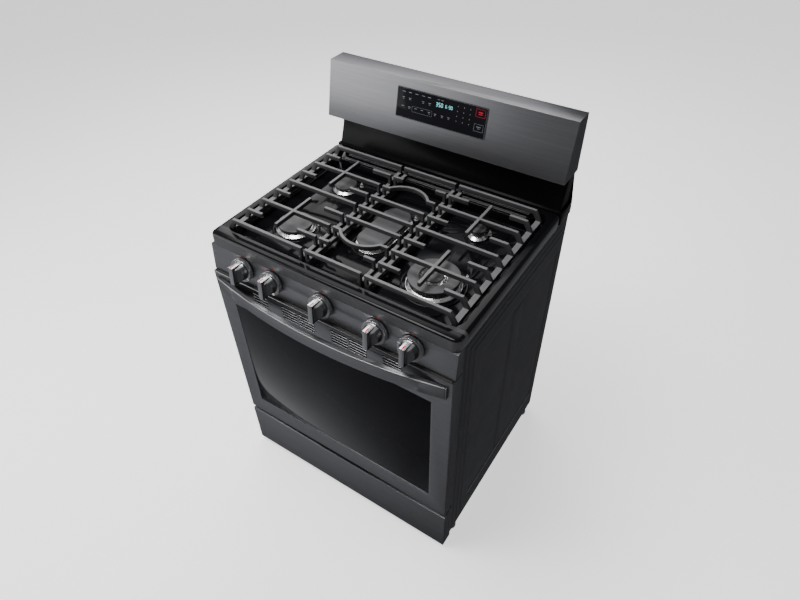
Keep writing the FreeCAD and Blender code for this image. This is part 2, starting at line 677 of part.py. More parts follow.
def inner_side(rail_x, leg_x):
    """Rail, legs and front foot along a grate's straight side; over the vent the rail steps up."""
    ends = (row(0) - S.finger / 2, row(last_row) + S.finger / 2)
    vent_top = S.cooktop_height + S.running_gap
    pieces = [box(rail_x, (ends[0], vent_front - S.fin_sink), (rail_top - S.rail_depth, rail_top)),
              box(rail_x, (row(last_row - 1), ends[1]), (vent_top, vent_top + S.vent_rail)),
              box(rail_x, (ends[0], ends[0] + S.foot_length), (platform_top + S.running_gap, rail_top))]
    for index in range(last_row + 1):
        across = (row(index) - S.finger / 2, row(index) + S.finger / 2)
        leg_low = rail_top - S.fin_sink if index < last_row else vent_top
        pieces.append(box(leg_x, across, (leg_low, finger_bottom + S.fin_sink)))
    return pieces


def side_grate(side):
    """Left or right grate: full fingers on even rows, short ones on odd rows and a cross over each burner."""
    outer_top = grate_out - S.fin_lean
    inner = side_grate_in
    pieces = [bar(beside(side, inner, outer_top), index) for index in (0, 2, 4, 6, 8)]
    for index in (1, 3, 5, 7):
        pieces.append(bar(beside(side, inner, inner + S.short_inner), index))
        pieces.append(bar(beside(side, outer_top - S.short_outer, outer_top), index))
    for index in (2, 6):
        arm_x = (side * burner_x - S.finger / 2, side * burner_x + S.finger / 2)
        arm_y = (row(index) - S.cross_arm, row(index) + S.cross_arm)
        pieces.append(box(arm_x, arm_y, (finger_bottom, grate_top)))
    pieces.append(fins(side, outer_top, grate_out))
    pieces += inner_side(beside(side, inner, inner + S.rail), beside(side, inner, inner + S.finger))
    ends = (row(0) + S.outer_rail_end, row(last_row) - S.outer_rail_end)
    outer_rail_x = beside(side, grate_out - S.outer_rail, grate_out)
    pieces.append(box(outer_rail_x, ends, (rail_top - S.outer_rail_depth, rail_top)))
    for y in ((ends[0], ends[0] + S.outer_foot), (ends[1] - S.outer_foot, ends[1])):
        pieces.append(box(outer_rail_x, y, (well_floor + S.running_gap, rail_top)))
    return fuse(*pieces)


def bow_radius(half_chord, rise):
    """The radius of an arc with a known half chord and rise."""
    return (half_chord * half_chord + rise * rise) / (2 * rise)


def arc_finger(index, bulge):
    """A finger bent round the middle burner: bulge is -1 towards the front and 1 towards the back."""
    radius = bow_radius(S.arc_half, S.arc_rise)
    centre = (ZERO, row(index) + bulge * (S.arc_rise - radius))
    ring = cut(rod("z", radius + S.finger / 2, (finger_bottom, grate_top), centre),
               rod("z", radius - S.finger / 2, (finger_bottom - S.past, grate_top + S.past), centre))
    start = row(index) - S.finger / 2
    end = row(index) + bulge * S.arc_rise + bulge * S.finger
    window_y = (end, start + S.finger) if bulge < 0 else (start, end)
    window = box(both(S.arc_half + S.finger), window_y, (finger_bottom - S.bite, grate_top + S.bite))
    stubs = [bar(beside(side, S.arc_half - S.arc_lap, S.centre_grate), index) for side in (-1, 1)]
    return [common(ring, window), *stubs]


def centre_grate():
    """Centre grate: straight fingers between two that bend round the oval burner."""
    out = S.centre_grate
    pieces = [bar(both(out), index) for index in (0, 3, 4, 5, 8)]
    pieces += arc_finger(2, -1) + arc_finger(6, 1)
    for side in (-1, 1):
        pieces += [bar(beside(side, out - S.short_centre, out), index) for index in (1, 7)]
        pieces += inner_side(beside(side, out - S.centre_rail, out), beside(side, out - S.finger, out))
    return fuse(*pieces)


part("grate_left", side_grate(-1))
part("grate_centre", centre_grate())
part("grate_right", side_grate(1))

# ---------------------------------------------------------------- control panel, valves and knobs

panel_foot = panel_front - S.panel_lean
panel_inside = body_front + S.past
panel_outer = prism([(panel_front, skirt_bottom), (panel_foot, panel_bottom), (body_front, panel_bottom),
                     (body_front, skirt_bottom)], S.width)
panel_low, panel_high = panel_bottom + S.skin, skirt_bottom - S.skin
panel_inner = prism([(panel_front + S.skin, panel_high), (panel_foot + S.skin, panel_low),
                     (panel_inside, panel_low), (panel_inside, panel_high)], S.width - 2 * S.skin)
panel_slope = "90 deg - atan(%s / %s)" % (S.panel_lean.text, S.panel_height.text)


def on_panel(thing, x):
    """Stands a piece that was drawn about its own Z axis on the leaning panel, Z pointing outwards."""
    thing.Placement = Placement(Vector(), ABOUT_X)
    thing.setExpression("Placement.Rotation.Angle", panel_slope)
    return move(thing, x, knob_y, knob_z)


stem_radius = S.stem / 2
stem_reach = S.knob_gap + S.stem_grip

KNOBS = {
    "left_front": -S.knob_inner - S.knob_pitch, "left_rear": -S.knob_inner, "centre": ZERO,
    "right_rear": S.knob_inner, "right_front": S.knob_inner + S.knob_pitch,
}
stem_holes = [on_panel(group(slab(S.stem_hole, -2 * S.past, 2 * S.past)), x) for x in KNOBS.values()]
part("control_panel", cut(panel_outer, panel_inner, *stem_holes))

manifold_y = knob_y + S.valve_far + S.manifold - S.manifold_saddle
manifold_z = knob_z - (S.valve_far + S.manifold) * S.panel_lean / S.panel_height
pipe_x = side_in - S.pipe_side
pipe_y = cover_y[0] - S.pipe_back
elbow = doc.addObject("Part::Sphere", "Elbow")
bind(elbow, "Radius", S.pipe_elbow)
supply = fuse(
    rod("z", S.pipe, (regulator_z[1] - S.pipe_sink, manifold_z), (pipe_x, pipe_y)),
    move(elbow, pipe_x, pipe_y, manifold_z),
    rod("y", S.pipe, (manifold_y - S.pipe_lap, pipe_y), (pipe_x, manifold_z)))


def manifold_pipe():
    start = -S.knob_inner - S.knob_pitch - S.manifold_end
    return rod("x", S.manifold, (start, pipe_x), (manifold_y, manifold_z))


foot_y = (manifold_y - S.manifold_foot_depth, manifold_y + S.manifold_foot_depth)
manifold_feet = [box((x - S.manifold_foot, x + S.manifold_foot), foot_y, (panel_bottom, manifold_z))
                 for x in both(S.knob_inner / 2)]
part("gas_manifold", cut(fuse(manifold_pipe(), *manifold_feet), supply))

regulator_axis = ((regulator_x[0] + regulator_x[1]) / 2 - S.port_offset,
                  (regulator_z[0] + regulator_z[1]) / 2)
regulator_rear = cover_y[0] - S.regulator_back
regulator_body = fuse(
    box(regulator_x, (regulator_rear - S.regulator_depth, regulator_rear), regulator_z),
    rod("y", S.port_collar, (regulator_rear - S.bite, regulator_rear + S.port_reach), regulator_axis))
inlet = rod("y", S.port_bore, (regulator_rear - S.bore_inside, regulator_rear + S.bore_outside),
            regulator_axis)
part("gas_supply_pipe", supply)
part("gas_regulator", cut(cut(regulator_body, inlet), supply))


def valve(x):
    """Gas valve with a bore for its stem and a saddle on the manifold."""
    body = slab(S.valve, -S.valve_far - S.valve_end, -S.valve_near)
    bore = slab(stem_radius + S.pin_play, -S.stem_depth - S.stem_end_gap, -S.valve_near + S.bite)
    return cut(on_panel(cut(body, bore), x), manifold_pipe())


part("burner_valves", group(*[valve(x) for x in KNOBS.values()]))


def knob():
    """Knob: a disc with a tall grip bar across it and a blind bore for the stem."""
    disc_top = S.knob_gap + S.knob_disc
    hub_top = S.knob_reach - S.hub_drop
    disc = slab(S.knob_radius, S.knob_gap, disc_top)
    hub = lathe([(ZERO, disc_top - S.bite), (S.hub_foot, disc_top - S.bite),
                 (S.hub_shoulder, S.knob_reach - S.hub_slope), (S.hub_crown, hub_top), (ZERO, hub_top)])
    grip_block = box(both(S.grip / 2), both(S.grip_half), (disc_top - S.bite, S.knob_reach))
    waist = common(hub, box(both(S.hub_foot), both(S.grip_half), (S.knob_gap, S.knob_reach)))
    scoop_x = S.grip / 2 + S.scoop_offset
    scoops = [rod("y", S.scoop, both(S.grip_half + S.skin), (x, S.knob_reach - S.scoop_drop))
              for x in both(scoop_x)]
    bore = slab(stem_radius + S.pin_play, S.knob_gap - S.bite, stem_reach + S.hole_play)
    return cut(fuse(disc, cut(waist, *scoops), grip_block), bore)


for name, x in KNOBS.items():
    part("knob_" + name, on_panel(knob(), x))
    part("valve_stem_" + name, on_panel(group(slab(stem_radius, -S.stem_depth, stem_reach)), x))

# ---------------------------------------------------------------- backguard

housing_bottom = S.height - S.housing_height
housing_rear = back - S.housing_back
housing_nose = housing_rear - S.housing_top
housing_chin = housing_nose - S.housing_lean
riser_back = cover_y[0]
riser_front = cooktop_back
riser_top = housing_bottom - S.housing_foot
riser_lip = housing_rear - S.riser_lip
riser_cover = riser_top - S.skin
bend_z = riser_top - S.riser_bend_drop
step_z = S.cooktop_height + S.riser_step_height
riser_outer = prism([(riser_front, S.cooktop_height), (riser_front + S.riser_step, step_z),
                     (riser_lip - S.riser_bend, bend_z), (riser_lip, riser_top), (riser_back, riser_top),
                     (riser_back, S.cooktop_height)], S.width - 2 * S.riser_inset)
riser_inside = riser_front + S.riser_step + S.housing_wall
riser_inner = prism([(riser_inside, S.cooktop_height + S.bite), (riser_inside + S.bite, step_z),
                     (riser_lip - S.riser_bend + S.housing_wall, bend_z),
                     (riser_lip + S.housing_wall, riser_cover), (riser_back + S.past, riser_cover),
                     (riser_back + S.past, S.cooktop_height + S.bite)],
                    S.width - 2 * S.riser_inset - 2 * S.riser_wall)
riser_base = box(both(outer_half), (riser_front, riser_back), (skirt_bottom, S.cooktop_height))
riser_base_inner = box(both(outer_half - S.skin), (riser_front + S.skin, riser_back + S.past),
                       (skirt_bottom - S.past, S.cooktop_height - S.skin))
part("backguard_riser", cut(fuse(riser_outer, riser_base), riser_inner, riser_base_inner))

housing_inside = housing_rear - S.skin
housing_ceiling = S.height - S.housing_wall
housing_outer = prism([(housing_chin, housing_bottom), (housing_nose, S.height), (housing_rear, S.height),
                       (housing_rear, riser_top), (riser_lip, riser_top),
                       (housing_chin + S.housing_return, housing_bottom - S.housing_return_drop)], S.width)
housing_inner = prism([(housing_chin + S.housing_chin_wall, housing_bottom + S.housing_wall),
                       (housing_nose + S.housing_wall, housing_ceiling), (housing_inside, housing_ceiling),
                       (housing_inside, riser_top + S.skin),
                       (riser_lip + S.housing_wall, riser_top + S.skin)],
                      S.width - 2 * S.skin)
housing_port = box(both(S.housing_port_half),
                   (riser_lip + S.housing_port_gap, housing_rear - S.housing_port_gap),
                   (riser_top - S.past, riser_top + S.past))


def corner_cut(side):
    """A square bar on its edge, which takes off the housing's lower corner."""
    square = (ZERO, S.housing_chamfer)
    wedge = box(square, (housing_chin - S.past, housing_rear + S.past), square)
    wedge.Placement.Rotation = ON_EDGE
    bind(wedge, "Placement.Base.x", side * half - S.housing_chamfer / 2 ** 0.5)
    bind(wedge, "Placement.Base.z", riser_top)
    return wedge


part("backguard_housing", cut(housing_outer, housing_inner, housing_port, corner_cut(-1), corner_cut(1)))

housing_slope = "90 deg - atan(%s / %s)" % (S.housing_lean.text, S.housing_height.text)
touch = rounded(both(S.touch_width / 2), (-S.touch_drop - S.touch_height, -S.touch_drop),
                (ZERO, S.touch_thickness), S.touch_corner)
touch.Placement = Placement(Vector(), ABOUT_X)
touch.setExpression("Placement.Rotation.Angle", housing_slope)
part("touch_panel", move(touch, 0, housing_nose, S.height))

# ---------------------------------------------------------------- oven door

window_half = half - S.window_side
window_z = (door_bottom + S.window_below, door_top - S.window_above)
skin_rear = body_front - S.rear_step
liner_rear = body_front - S.seal_gap
arm_x = half - S.hinge_inset
door_low = hinge_z + S.slot_gap
wall_x = both(half - S.skin)
behind_door = body_front + S.past
below_door = door_bottom - S.past


def hinge_slot(side):
    """Room for the fixed hinge arm, from the door's back down to its bottom edge."""
    return box(beside(side, arm_x - S.slot_side, arm_x + S.arm_half + S.slot_gap),
               (hinge_y - S.block_back, behind_door), (below_door, hinge_z + S.slot_top))


skin_body = doc.addObject("PartDesign::Body", "DoorSkin")
skin_plan = new_sketch(skin_body, "XZ_Plane")
outline(skin_plan, [(-half, door_bottom), (half, door_bottom), (half, door_top), (-half, door_top)])
skin_block = pad(skin_body, skin_plan, skin_rear - door_front)
skin_block.Reversed = True
doc.recompute()
rounding = skin_body.newObject("PartDesign::Fillet", "EdgeRounding")
front_limit = skin_block.Shape.BoundBox.YMin + TOUCHING
rounding.Base = (skin_block, ["Edge%d" % (n + 1) for n, edge in enumerate(skin_block.Shape.Edges)
                              if edge.BoundBox.YMax < front_limit])
bind(rounding, "Radius", S.door_edge)
move(skin_body, 0, door_front, 0)
skin_hollow = box(wall_x, (door_front + S.skin, behind_door), (door_bottom + S.skin, door_top - S.skin))
heel = box(both(half + S.past), (hinge_y + S.heel_set, behind_door), (below_door, door_low))
through_skin = (door_front - S.past, door_front + S.window_pocket)
window_hole = box(both(window_half), through_skin, window_z)
vents = []
for x in both(S.vent_outer) + both(S.vent_middle) + both(S.vent_inner):
    for number in (0, 1, 2, 3, 4):
        vent_low = door_top - S.vent_drop - S.vent_pitch * number
        vents.append(box((x - S.vent_half, x + S.vent_half), through_skin,
                         (vent_low, vent_low + S.vent_slot)))
part("door_outer_skin", cut(skin_body, skin_hollow, heel, window_hole, *vents, hinge_slot(-1), hinge_slot(1)))

glass_front = door_front + S.skin
part("door_window", box(both(window_half + S.window_lap), (glass_front, glass_front + S.glass),
                        (window_z[0] - S.window_lap, window_z[1] + S.window_lap)))

inner_half = window_half - S.inner_window_side
inner_z = (window_z[0] + S.inner_window_end, window_z[1] - S.inner_window_end)
inner_tray = shell(wall_x, (liner_rear - S.tray_depth, liner_rear), (door_low, door_top - S.skin), S.skin,
                   open_side="-y")
inner_hole = box(both(inner_half), (liner_rear - S.past, liner_rear + S.past), inner_z)
part("door_inner_panel", cut(inner_tray, inner_hole, hinge_slot(-1), hinge_slot(1)))
inner_glass_rear = liner_rear - S.skin
part("door_inner_glass", box(both(inner_half + S.window_lap), (inner_glass_rear - S.glass, inner_glass_rear),
                             (inner_z[0] - S.window_lap, inner_z[1] + S.window_lap)))

seal_out = cavity_half + S.seal_reach
seal_z = (cavity_bottom - S.seal_reach, cavity_top + S.seal_reach)
part("door_gasket", frame(both(seal_out), (liner_rear, body_front - S.running_gap), seal_z,
                          both(seal_out - S.seal), (seal_z[0] + S.seal, seal_z[1] - S.seal)))

handle_half = half - S.handle_side
handle_z = (door_top - S.handle_drop - S.handle_height, door_top - S.handle_drop)
handle_front = door_front - S.handle_reach
outer_radius = bow_radius(handle_half, S.handle_bow)
inner_rise = S.handle_reach - S.handle_thickness
inner_radius = bow_radius(handle_half - S.handle_foot, inner_rise)
handle_block = box(both(handle_half), (handle_front - S.past, door_front), handle_z)
outer_bow = rod("z", outer_radius, handle_z, (ZERO, handle_front + outer_radius))
inner_bow = rod("z", inner_radius, (handle_z[0] - S.past, handle_z[1] + S.past),
                (ZERO, door_front - inner_rise + inner_radius))
part("door_handle", cut(common(handle_block, outer_bow), inner_bow))
cap_y = (handle_front + S.handle_bow, door_front)
part("handle_end_caps", group(*[box(beside(side, handle_half, handle_half + S.handle_cap), cap_y, handle_z)
                                for side in (-1, 1)]))


def hinge_arm(side):
    """Arm bolted to the front frame, carrying the pin that the door turns on."""
    low = hinge_z - S.arm_half_height
    plate = box(beside(side, arm_x - S.arm_plate_width, arm_x + S.arm_half),
                (body_front - S.arm_plate, body_front), (low, hinge_z + S.arm_plate_top))
    arm = box(beside(side, arm_x - S.arm_half, arm_x + S.arm_half), (hinge_y - S.arm_half_height, body_front),
              (low, hinge_z + S.arm_half_height))
    pin = rod("x", S.hinge_pin / 2, beside(side, arm_x - S.pin_length, arm_x), (hinge_y, hinge_z))
    return fuse(plate, arm, pin)


def hinge_block(side):
    """Bearing block inside the door's lower corner."""
    block = box(beside(side, arm_x - S.block_side, arm_x - S.arm_half - S.block_gap),
                (glass_front, hinge_y + S.block_back), (door_bottom + S.skin, hinge_z + S.block_height))
    bore_x = beside(side, arm_x - S.block_side - S.past, arm_x + S.past)
    return cut(block, rod("x", S.hinge_pin / 2 + S.pin_play, bore_x, (hinge_y, hinge_z)))


part("hinge_arms", group(hinge_arm(-1), hinge_arm(1)))
part("door_hinges", group(hinge_block(-1), hinge_block(1)))

# ---------------------------------------------------------------- oven racks


def oven_rack(level):
    """Wire rack: an outer frame with cross wires under long wires."""
    wire = S.rack_wire / 2
    z = oven_floor + S.ledge_pitch * level + S.running_gap + wire
    out = cavity_half - S.rack_side
    front, rear = cavity_front + S.rack_front, cavity_back - S.rack_back
    third = (rear - front) / 3
    wires = [rod("y", wire, (front, rear), (x, z)) for x in both(out)]
    wires += [rod("x", wire, both(out), (y, z)) for y in (front, front + third, rear - third, rear)]
    grid_y = (front - S.bite, rear + S.bite)
    for number in range(-7, 8):
        wires.append(rod("y", S.rack_grid_wire / 2, grid_y, (out * number / 8, z + wire)))
    return fuse(*wires)


part("oven_rack_lower", oven_rack(2))
part("oven_rack_upper", oven_rack(4))

# ---------------------------------------------------------------- storage drawer

part("drawer_front", shell(both(half), (door_front, skin_rear), (S.leg_height, drawer_top), S.skin,
                           open_side="+y"))
tray_half = side_in - S.drawer_inset
tray_foot = S.leg_height + S.drawer_lift
tray_z = (tray_foot, tray_foot + S.drawer_wall)
tray_y = (skin_rear, back - S.drawer_back_space)
tray = shell(both(tray_half), tray_y, tray_z, S.skin, open_side="+z")
runner_foot = rail_top_z + S.running_gap
runners = [box(beside(side, tray_half - S.runner_lap, side_in - S.runner_gap), tray_y,
               (runner_foot, runner_foot + S.runner)) for side in (-1, 1)]
hook_foot = S.leg_height + S.skin
hooks = [box(both(tray_half), (skin_rear - S.hook_depth, skin_rear + S.runner_lap), z)
         for z in ((hook_foot, hook_foot + S.hook_height), (tray_z[1] - S.hook_top, tray_z[1]))]
part("drawer_box", fuse(tray, *runners, *hooks))

# ---------------------------------------------------------------- fasteners

screw_rows = (S.leg_height + S.screw_foot, (S.leg_height + skirt_bottom) / 2, skirt_bottom - S.screw_head)
screw_columns = both(side_in - S.screw_side) + both(side_in / 3)
part("cabinet_screws", group(*[rod("y", S.screw, (cover_y[1], back), (x, z))
                               for x in screw_columns for z in screw_rows]))

# ---------------------------------------------------------------- check and write

doc.recompute()
for thing in doc.Objects:
    if "Invalid" in thing.State or "Error" in thing.State:
        raise RuntimeError("%s did not build: %s" % (thing.Label, thing.State))
for thing in parts:
    if thing.Shape.isNull() or not thing.Shape.isValid():
        raise RuntimeError(thing.Label + " has no valid shape")
os.makedirs("parts", exist_ok=True)
for thing in parts:
    thing.Shape.exportStep("parts/%s.step" % thing.Label)
print(len(parts), "sub-parts written")
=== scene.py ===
import json
import math
import bmesh
import bpy
import numpy as np
from mathutils import Matrix, Vector


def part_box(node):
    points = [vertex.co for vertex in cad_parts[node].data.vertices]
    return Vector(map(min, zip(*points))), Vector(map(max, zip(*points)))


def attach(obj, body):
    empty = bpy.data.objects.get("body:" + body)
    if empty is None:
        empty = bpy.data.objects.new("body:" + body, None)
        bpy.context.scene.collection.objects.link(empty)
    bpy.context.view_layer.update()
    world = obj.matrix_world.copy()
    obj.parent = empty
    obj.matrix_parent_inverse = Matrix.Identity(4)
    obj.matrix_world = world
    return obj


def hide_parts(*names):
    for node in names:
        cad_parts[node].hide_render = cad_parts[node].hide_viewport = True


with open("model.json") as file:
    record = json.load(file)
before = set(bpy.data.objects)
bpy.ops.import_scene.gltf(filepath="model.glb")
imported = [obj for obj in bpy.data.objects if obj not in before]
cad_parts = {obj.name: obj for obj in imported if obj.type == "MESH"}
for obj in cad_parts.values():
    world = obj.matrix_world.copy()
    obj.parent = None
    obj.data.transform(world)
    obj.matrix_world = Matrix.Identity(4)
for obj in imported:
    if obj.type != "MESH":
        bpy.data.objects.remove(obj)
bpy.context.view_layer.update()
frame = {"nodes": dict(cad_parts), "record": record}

# ------------------------------------------------------------------ room, light and camera
# A pale studio floor that stays out of the gloss of the metal, soft lights at the front left, above and
# behind, a weak one at the right, and air that brightens towards the front left. The camera looks down
# on the cooktop from the front right.

floor_mesh = bpy.data.meshes.new("studio_floor")
REACH = 9
corners = [(-REACH, -REACH, 0), (REACH, -REACH, 0), (REACH, REACH, 0), (-REACH, REACH, 0)]
floor_mesh.from_pydata(corners, [], [(0, 1, 2, 3)])
studio_floor = bpy.data.objects.new("studio_floor", floor_mesh)
bpy.context.collection.objects.link(studio_floor)
pale = bpy.data.materials.new("studio_floor_paint")
pale.use_nodes = True
paint = pale.node_tree.nodes["Principled BSDF"].inputs
paint["Base Color"].default_value = (0.9, 0.9, 0.9, 1)
paint["Roughness"].default_value = 0.9
paint["Specular IOR Level"].default_value = 0.0
paint["Emission Color"].default_value = (1, 1, 1, 1)
paint["Emission Strength"].default_value = 1.0
floor_mesh.materials.append(pale)
studio_floor.visible_glossy = False


def area_light(name, place, target, size, power):
    lamp = bpy.data.lights.new(name, "AREA")
    lamp.shape = "RECTANGLE"
    lamp.size, lamp.size_y = size
    lamp.energy = power
    holder = bpy.data.objects.new(name, lamp)
    holder.location = place
    holder.rotation_euler = (Vector(target) - Vector(place)).to_track_quat("-Z", "Y").to_euler()
    bpy.context.collection.objects.link(holder)


area_light("key_left", (-2.4, -1.9, 1.7), (0, -0.1, 0.7), (1.2, 2.6), 60)
area_light("sky_top", (-0.55, -0.5, 3.0), (0, 0, 0.9), (1.4, 1.2), 75)
area_light("back_card", (-1.35, 1.95, 2.55), (-0.1, 0, 0.95), (2.6, 2.1), 55)
area_light("rim_right", (2.4, 0.9, 1.7), (0.3, 0, 0.7), (0.4, 1.6), 4)

world = bpy.data.worlds.new("studio_air")
world.use_nodes = True
world.node_tree.nodes["Background"].inputs["Color"].default_value = (0.95, 0.97, 1.0, 1)
air = world.node_tree
toward = air.nodes.new("ShaderNodeTexCoord")
front_left = air.nodes.new("ShaderNodeVectorMath")
front_left.operation = "DOT_PRODUCT"
front_left.inputs[1].default_value = (-1, -0.3, -0.35)
glow_range = air.nodes.new("ShaderNodeMapRange")
for name, value in (("From Min", 0.6), ("From Max", 0.84), ("To Min", 0.2), ("To Max", 0.95)):
    glow_range.inputs[name].default_value = value
air.links.new(toward.outputs["Generated"], front_left.inputs[0])
air.links.new(front_left.outputs["Value"], glow_range.inputs["Value"])
air.links.new(glow_range.outputs["Result"], air.nodes["Background"].inputs["Strength"])
bpy.context.scene.world = world

lens = bpy.data.cameras.new("view")
lens.sensor_width = 36
lens.lens = 27.513
viewer = bpy.data.objects.new("view", lens)
right = Vector((0.8361403, 0.54823816, -0.01744491))
up = Vector((-0.36274847, 0.57653881, 0.73213151))
turn = Matrix((right, up, right.cross(up))).transposed()
viewer.matrix_world = Matrix.Translation((0.773455, -1.091008, 1.878479)) @ turn.to_4x4()
bpy.context.collection.objects.link(viewer)
bpy.context.scene.camera = viewer

# ------------------------------------------------------------------ painted side sheets
# Pressed steel sheets in satin black paint. Three ribs follow the top and front edges; inside them
# lie a stepped border and one upright crease that stiffen the large flat area.


class Wire:
    """A shader socket that takes Python arithmetic."""

    def __init__(self, tree, socket):
        self.tree = tree
        self.socket = socket

    def sum(self, kind, *values):
        node = self.tree.nodes.new("ShaderNodeMath")
        node.operation = kind
        for place, value in zip(node.inputs, values):
            feed(self.tree, value, place)
        return Wire(self.tree, node.outputs[0])

    def __add__(self, other):
        return self.sum("ADD", self, other)

    def __sub__(self, other):
        return self.sum("SUBTRACT", self, other)

    def __rsub__(self, other):
        return self.sum("SUBTRACT", other, self)

    def __mul__(self, other):
        return self.sum("MULTIPLY", self, other)

    def above(self, edge):
        return self.sum("GREATER_THAN", self, edge)

    __radd__ = __add__
    __rmul__ = __mul__


def feed(tree, value, place):
    if isinstance(value, Wire):
        tree.links.new(value.socket, place)
    elif isinstance(value, tuple) and len(value) == 3 and place.type == "RGBA":
        place.default_value = (*value, 1)
    else:
        place.default_value = value


class Finish:
    """One material: a Principled shader and whatever nodes vary it."""

    def __init__(self, name, **fixed):
        self.material = bpy.data.materials.new(name)
        self.material.use_nodes = True
        self.tree = self.material.node_tree
        self.shader = self.tree.nodes["Principled BSDF"]
        self.set({key.replace("_", " ").title().replace("Ior", "IOR"): fixed[key] for key in fixed})

    def set(self, values):
        for name, value in values.items():
            feed(self.tree, value, self.shader.inputs[name])

    def add(self, kind, settings=(), values=(), output=0):
        node = self.tree.nodes.new("ShaderNode" + kind)
        for name, value in dict(settings).items():
            setattr(node, name, value)
        for name, value in dict(values).items():
            feed(self.tree, value, node.inputs[name])
        return Wire(self.tree, node.outputs[output])

    def place(self, scale=(1, 1, 1)):
        """Object coordinates, stretched by a scale for each axis."""
        spot = self.add("TexCoord", output="Object")
        return self.add("Mapping", values={"Vector": spot, "Scale": scale})

    def noise(self, size, detail=3, scale=(1, 1, 1), rough=0.5):
        return self.add("TexNoise", values={"Vector": self.place(scale), "Scale": size, "Detail": detail,
                                            "Roughness": rough})

    def blend(self, share, first, second):
        """A colour between two, by a share from 0 to 1."""
        return self.add("Mix", {"data_type": "RGBA"}, {0: share, 6: first, 7: second}, output=2)

    def bump(self, height, strength, distance):
        self.set({"Normal": self.add("Bump", values={"Height": height, "Strength": strength,
                                                     "Distance": distance})})


def keep(piece, body, slot, finish, *nodes):
    """A finished piece: its paint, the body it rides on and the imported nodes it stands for."""
    piece.data.materials.clear()
    piece.data.materials.append(finish.material)
    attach(piece, body)
    if nodes:
        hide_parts(*nodes)
    return piece


def new_piece(name, points, faces, smooth=35):
    mesh = bpy.data.meshes.new(name)
    mesh.from_pydata([tuple(p) for p in points], [], [tuple(f) for f in faces])
    mesh.update()
    mesh.shade_smooth()
    mesh.set_sharp_from_angle(angle=math.radians(smooth))
    piece = bpy.data.objects.new(name, mesh)
    bpy.context.collection.objects.link(piece)
    return piece


satin_black = Finish("satin_black_paint", base_color=(0.010, 0.010, 0.012), roughness=0.5, ior=1.3)
peel = satin_black.noise(900, detail=1)
satin_black.set({"Roughness": 0.44 + 0.12 * satin_black.noise(9)})
satin_black.bump(peel, 0.12, 0.0004)


def groove_line(distance, width):
    """A rounded ridge: 1 on its line and 0 beyond its width."""
    share = np.clip(1 - np.abs(distance) / width, 0, 1)
    return share * share * (3 - 2 * share)


def step_up(distance, width):
    share = np.clip(distance / width + 0.5, 0, 1)
    return share * share * (3 - 2 * share)


def side_sheet(side, node):
    low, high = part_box(node)
    out = high[0] if side > 0 else -low[0]
    front, rear = low[1], high[1]
    foot, head = low[2], high[2]
    across = np.linspace(front, rear, 176)
    tall = np.linspace(foot, head, 232)
    y, z = np.meshgrid(across, tall)
    from_front, from_top = y - front, head - z
    inset = np.minimum(from_front, from_top)
    height = sum(groove_line(inset - 0.022 - 0.024 * n, 0.008) for n in range(3)) * 0.0018
    fade = np.clip((rear - 0.02 - y) / 0.02, 0, 1) * np.clip((z - foot - 0.02) / 0.02, 0, 1)
    height *= fade
    field = np.minimum(np.minimum(from_front - 0.113, from_top - 0.122),
                       np.minimum(rear - 0.035 - y, z - foot - 0.078))
    height -= 0.0016 * step_up(field, 0.010)
    inner = np.minimum(field - 0.014, 1)
    rise, fall = step_up(y - (front + 0.296), 0.014), step_up(y - (front + 0.345), 0.03)
    crease = rise * (1 - fall) * step_up(inner, 0.012)
    height += 0.0018 * crease
    height -= 0.001 * groove_line(z - foot - 0.105, 0.008) * step_up(field, 0.01)
    x = side * (out - 0.0020 + np.clip(height, -0.002, 0.0019))
    outer = np.stack([x, y, z], -1).reshape(-1, 3)
    inner_face = outer - np.array([side * 0.0011, 0, 0])
    rows, columns = y.shape
    faces = []
    count = rows * columns
    for r in range(rows - 1):
        for c in range(columns - 1):
            a = r * columns + c
            quad = (a, a + 1, a + columns + 1, a + columns)
            quad = quad if side > 0 else quad[::-1]
            faces.append(quad)
            faces.append(tuple(n + count for n in quad[::-1]))
    rim = [r * columns for r in range(rows)]
    rims = [list(range(columns)), [r * columns + columns - 1 for r in range(rows)],
            [count - 1 - c for c in range(columns)], rim[::-1]]
    for edge in rims:
        for a, b in zip(edge, edge[1:]):
            quad = (b, a, a + count, b + count)
            faces.append(quad if side > 0 else quad[::-1])
    piece = new_piece(node + "_pressed", np.concatenate([outer, inner_face]), faces, smooth=60)
    keep(piece, "cabinet", "side_paint", satin_black, node)


side_sheet(-1, "side_panel_left")
side_sheet(1, "side_panel_right")

# ------------------------------------------------------------------ back, base and gas line
# Zinc-coated sheet closes the back and folds into the base channels. The drawer runs on them, and
# four screw feet, the regulator and the steel gas pipe sit among them. Pan-head screws hold the cover.

zinc = Finish("galvanised_sheet", metallic=1.0, roughness=0.42)
spangle = zinc.add("TexVoronoi", values={"Vector": zinc.place(), "Scale": 90.0}, output="Color")
flake = zinc.add("RGBToBW", values={0: spangle})
zinc.set({"Base Color": zinc.blend(flake, (0.36, 0.37, 0.38), (0.52, 0.53, 0.54)),
          "Roughness": 0.32 + 0.2 * flake})
zinc.bump(zinc.noise(140), 0.08, 0.0005)
pipe_steel = Finish("plain_pipe_steel", metallic=1.0)
scale = pipe_steel.noise(80, detail=5)
pipe_steel.set({"Base Color": pipe_steel.blend(scale, (0.30, 0.29, 0.28), (0.55, 0.54, 0.53)),
                "Roughness": 0.3 + 0.3 * scale})
pipe_steel.bump(scale, 0.1, 0.0004)
die_cast = Finish("die_cast_alloy", metallic=1.0)
sand = die_cast.noise(420, detail=4)
die_cast.set({"Base Color": die_cast.blend(sand, (0.5, 0.5, 0.5), (0.66, 0.66, 0.65)),
              "Roughness": 0.38 + 0.2 * sand})
die_cast.bump(sand, 0.25, 0.0004)


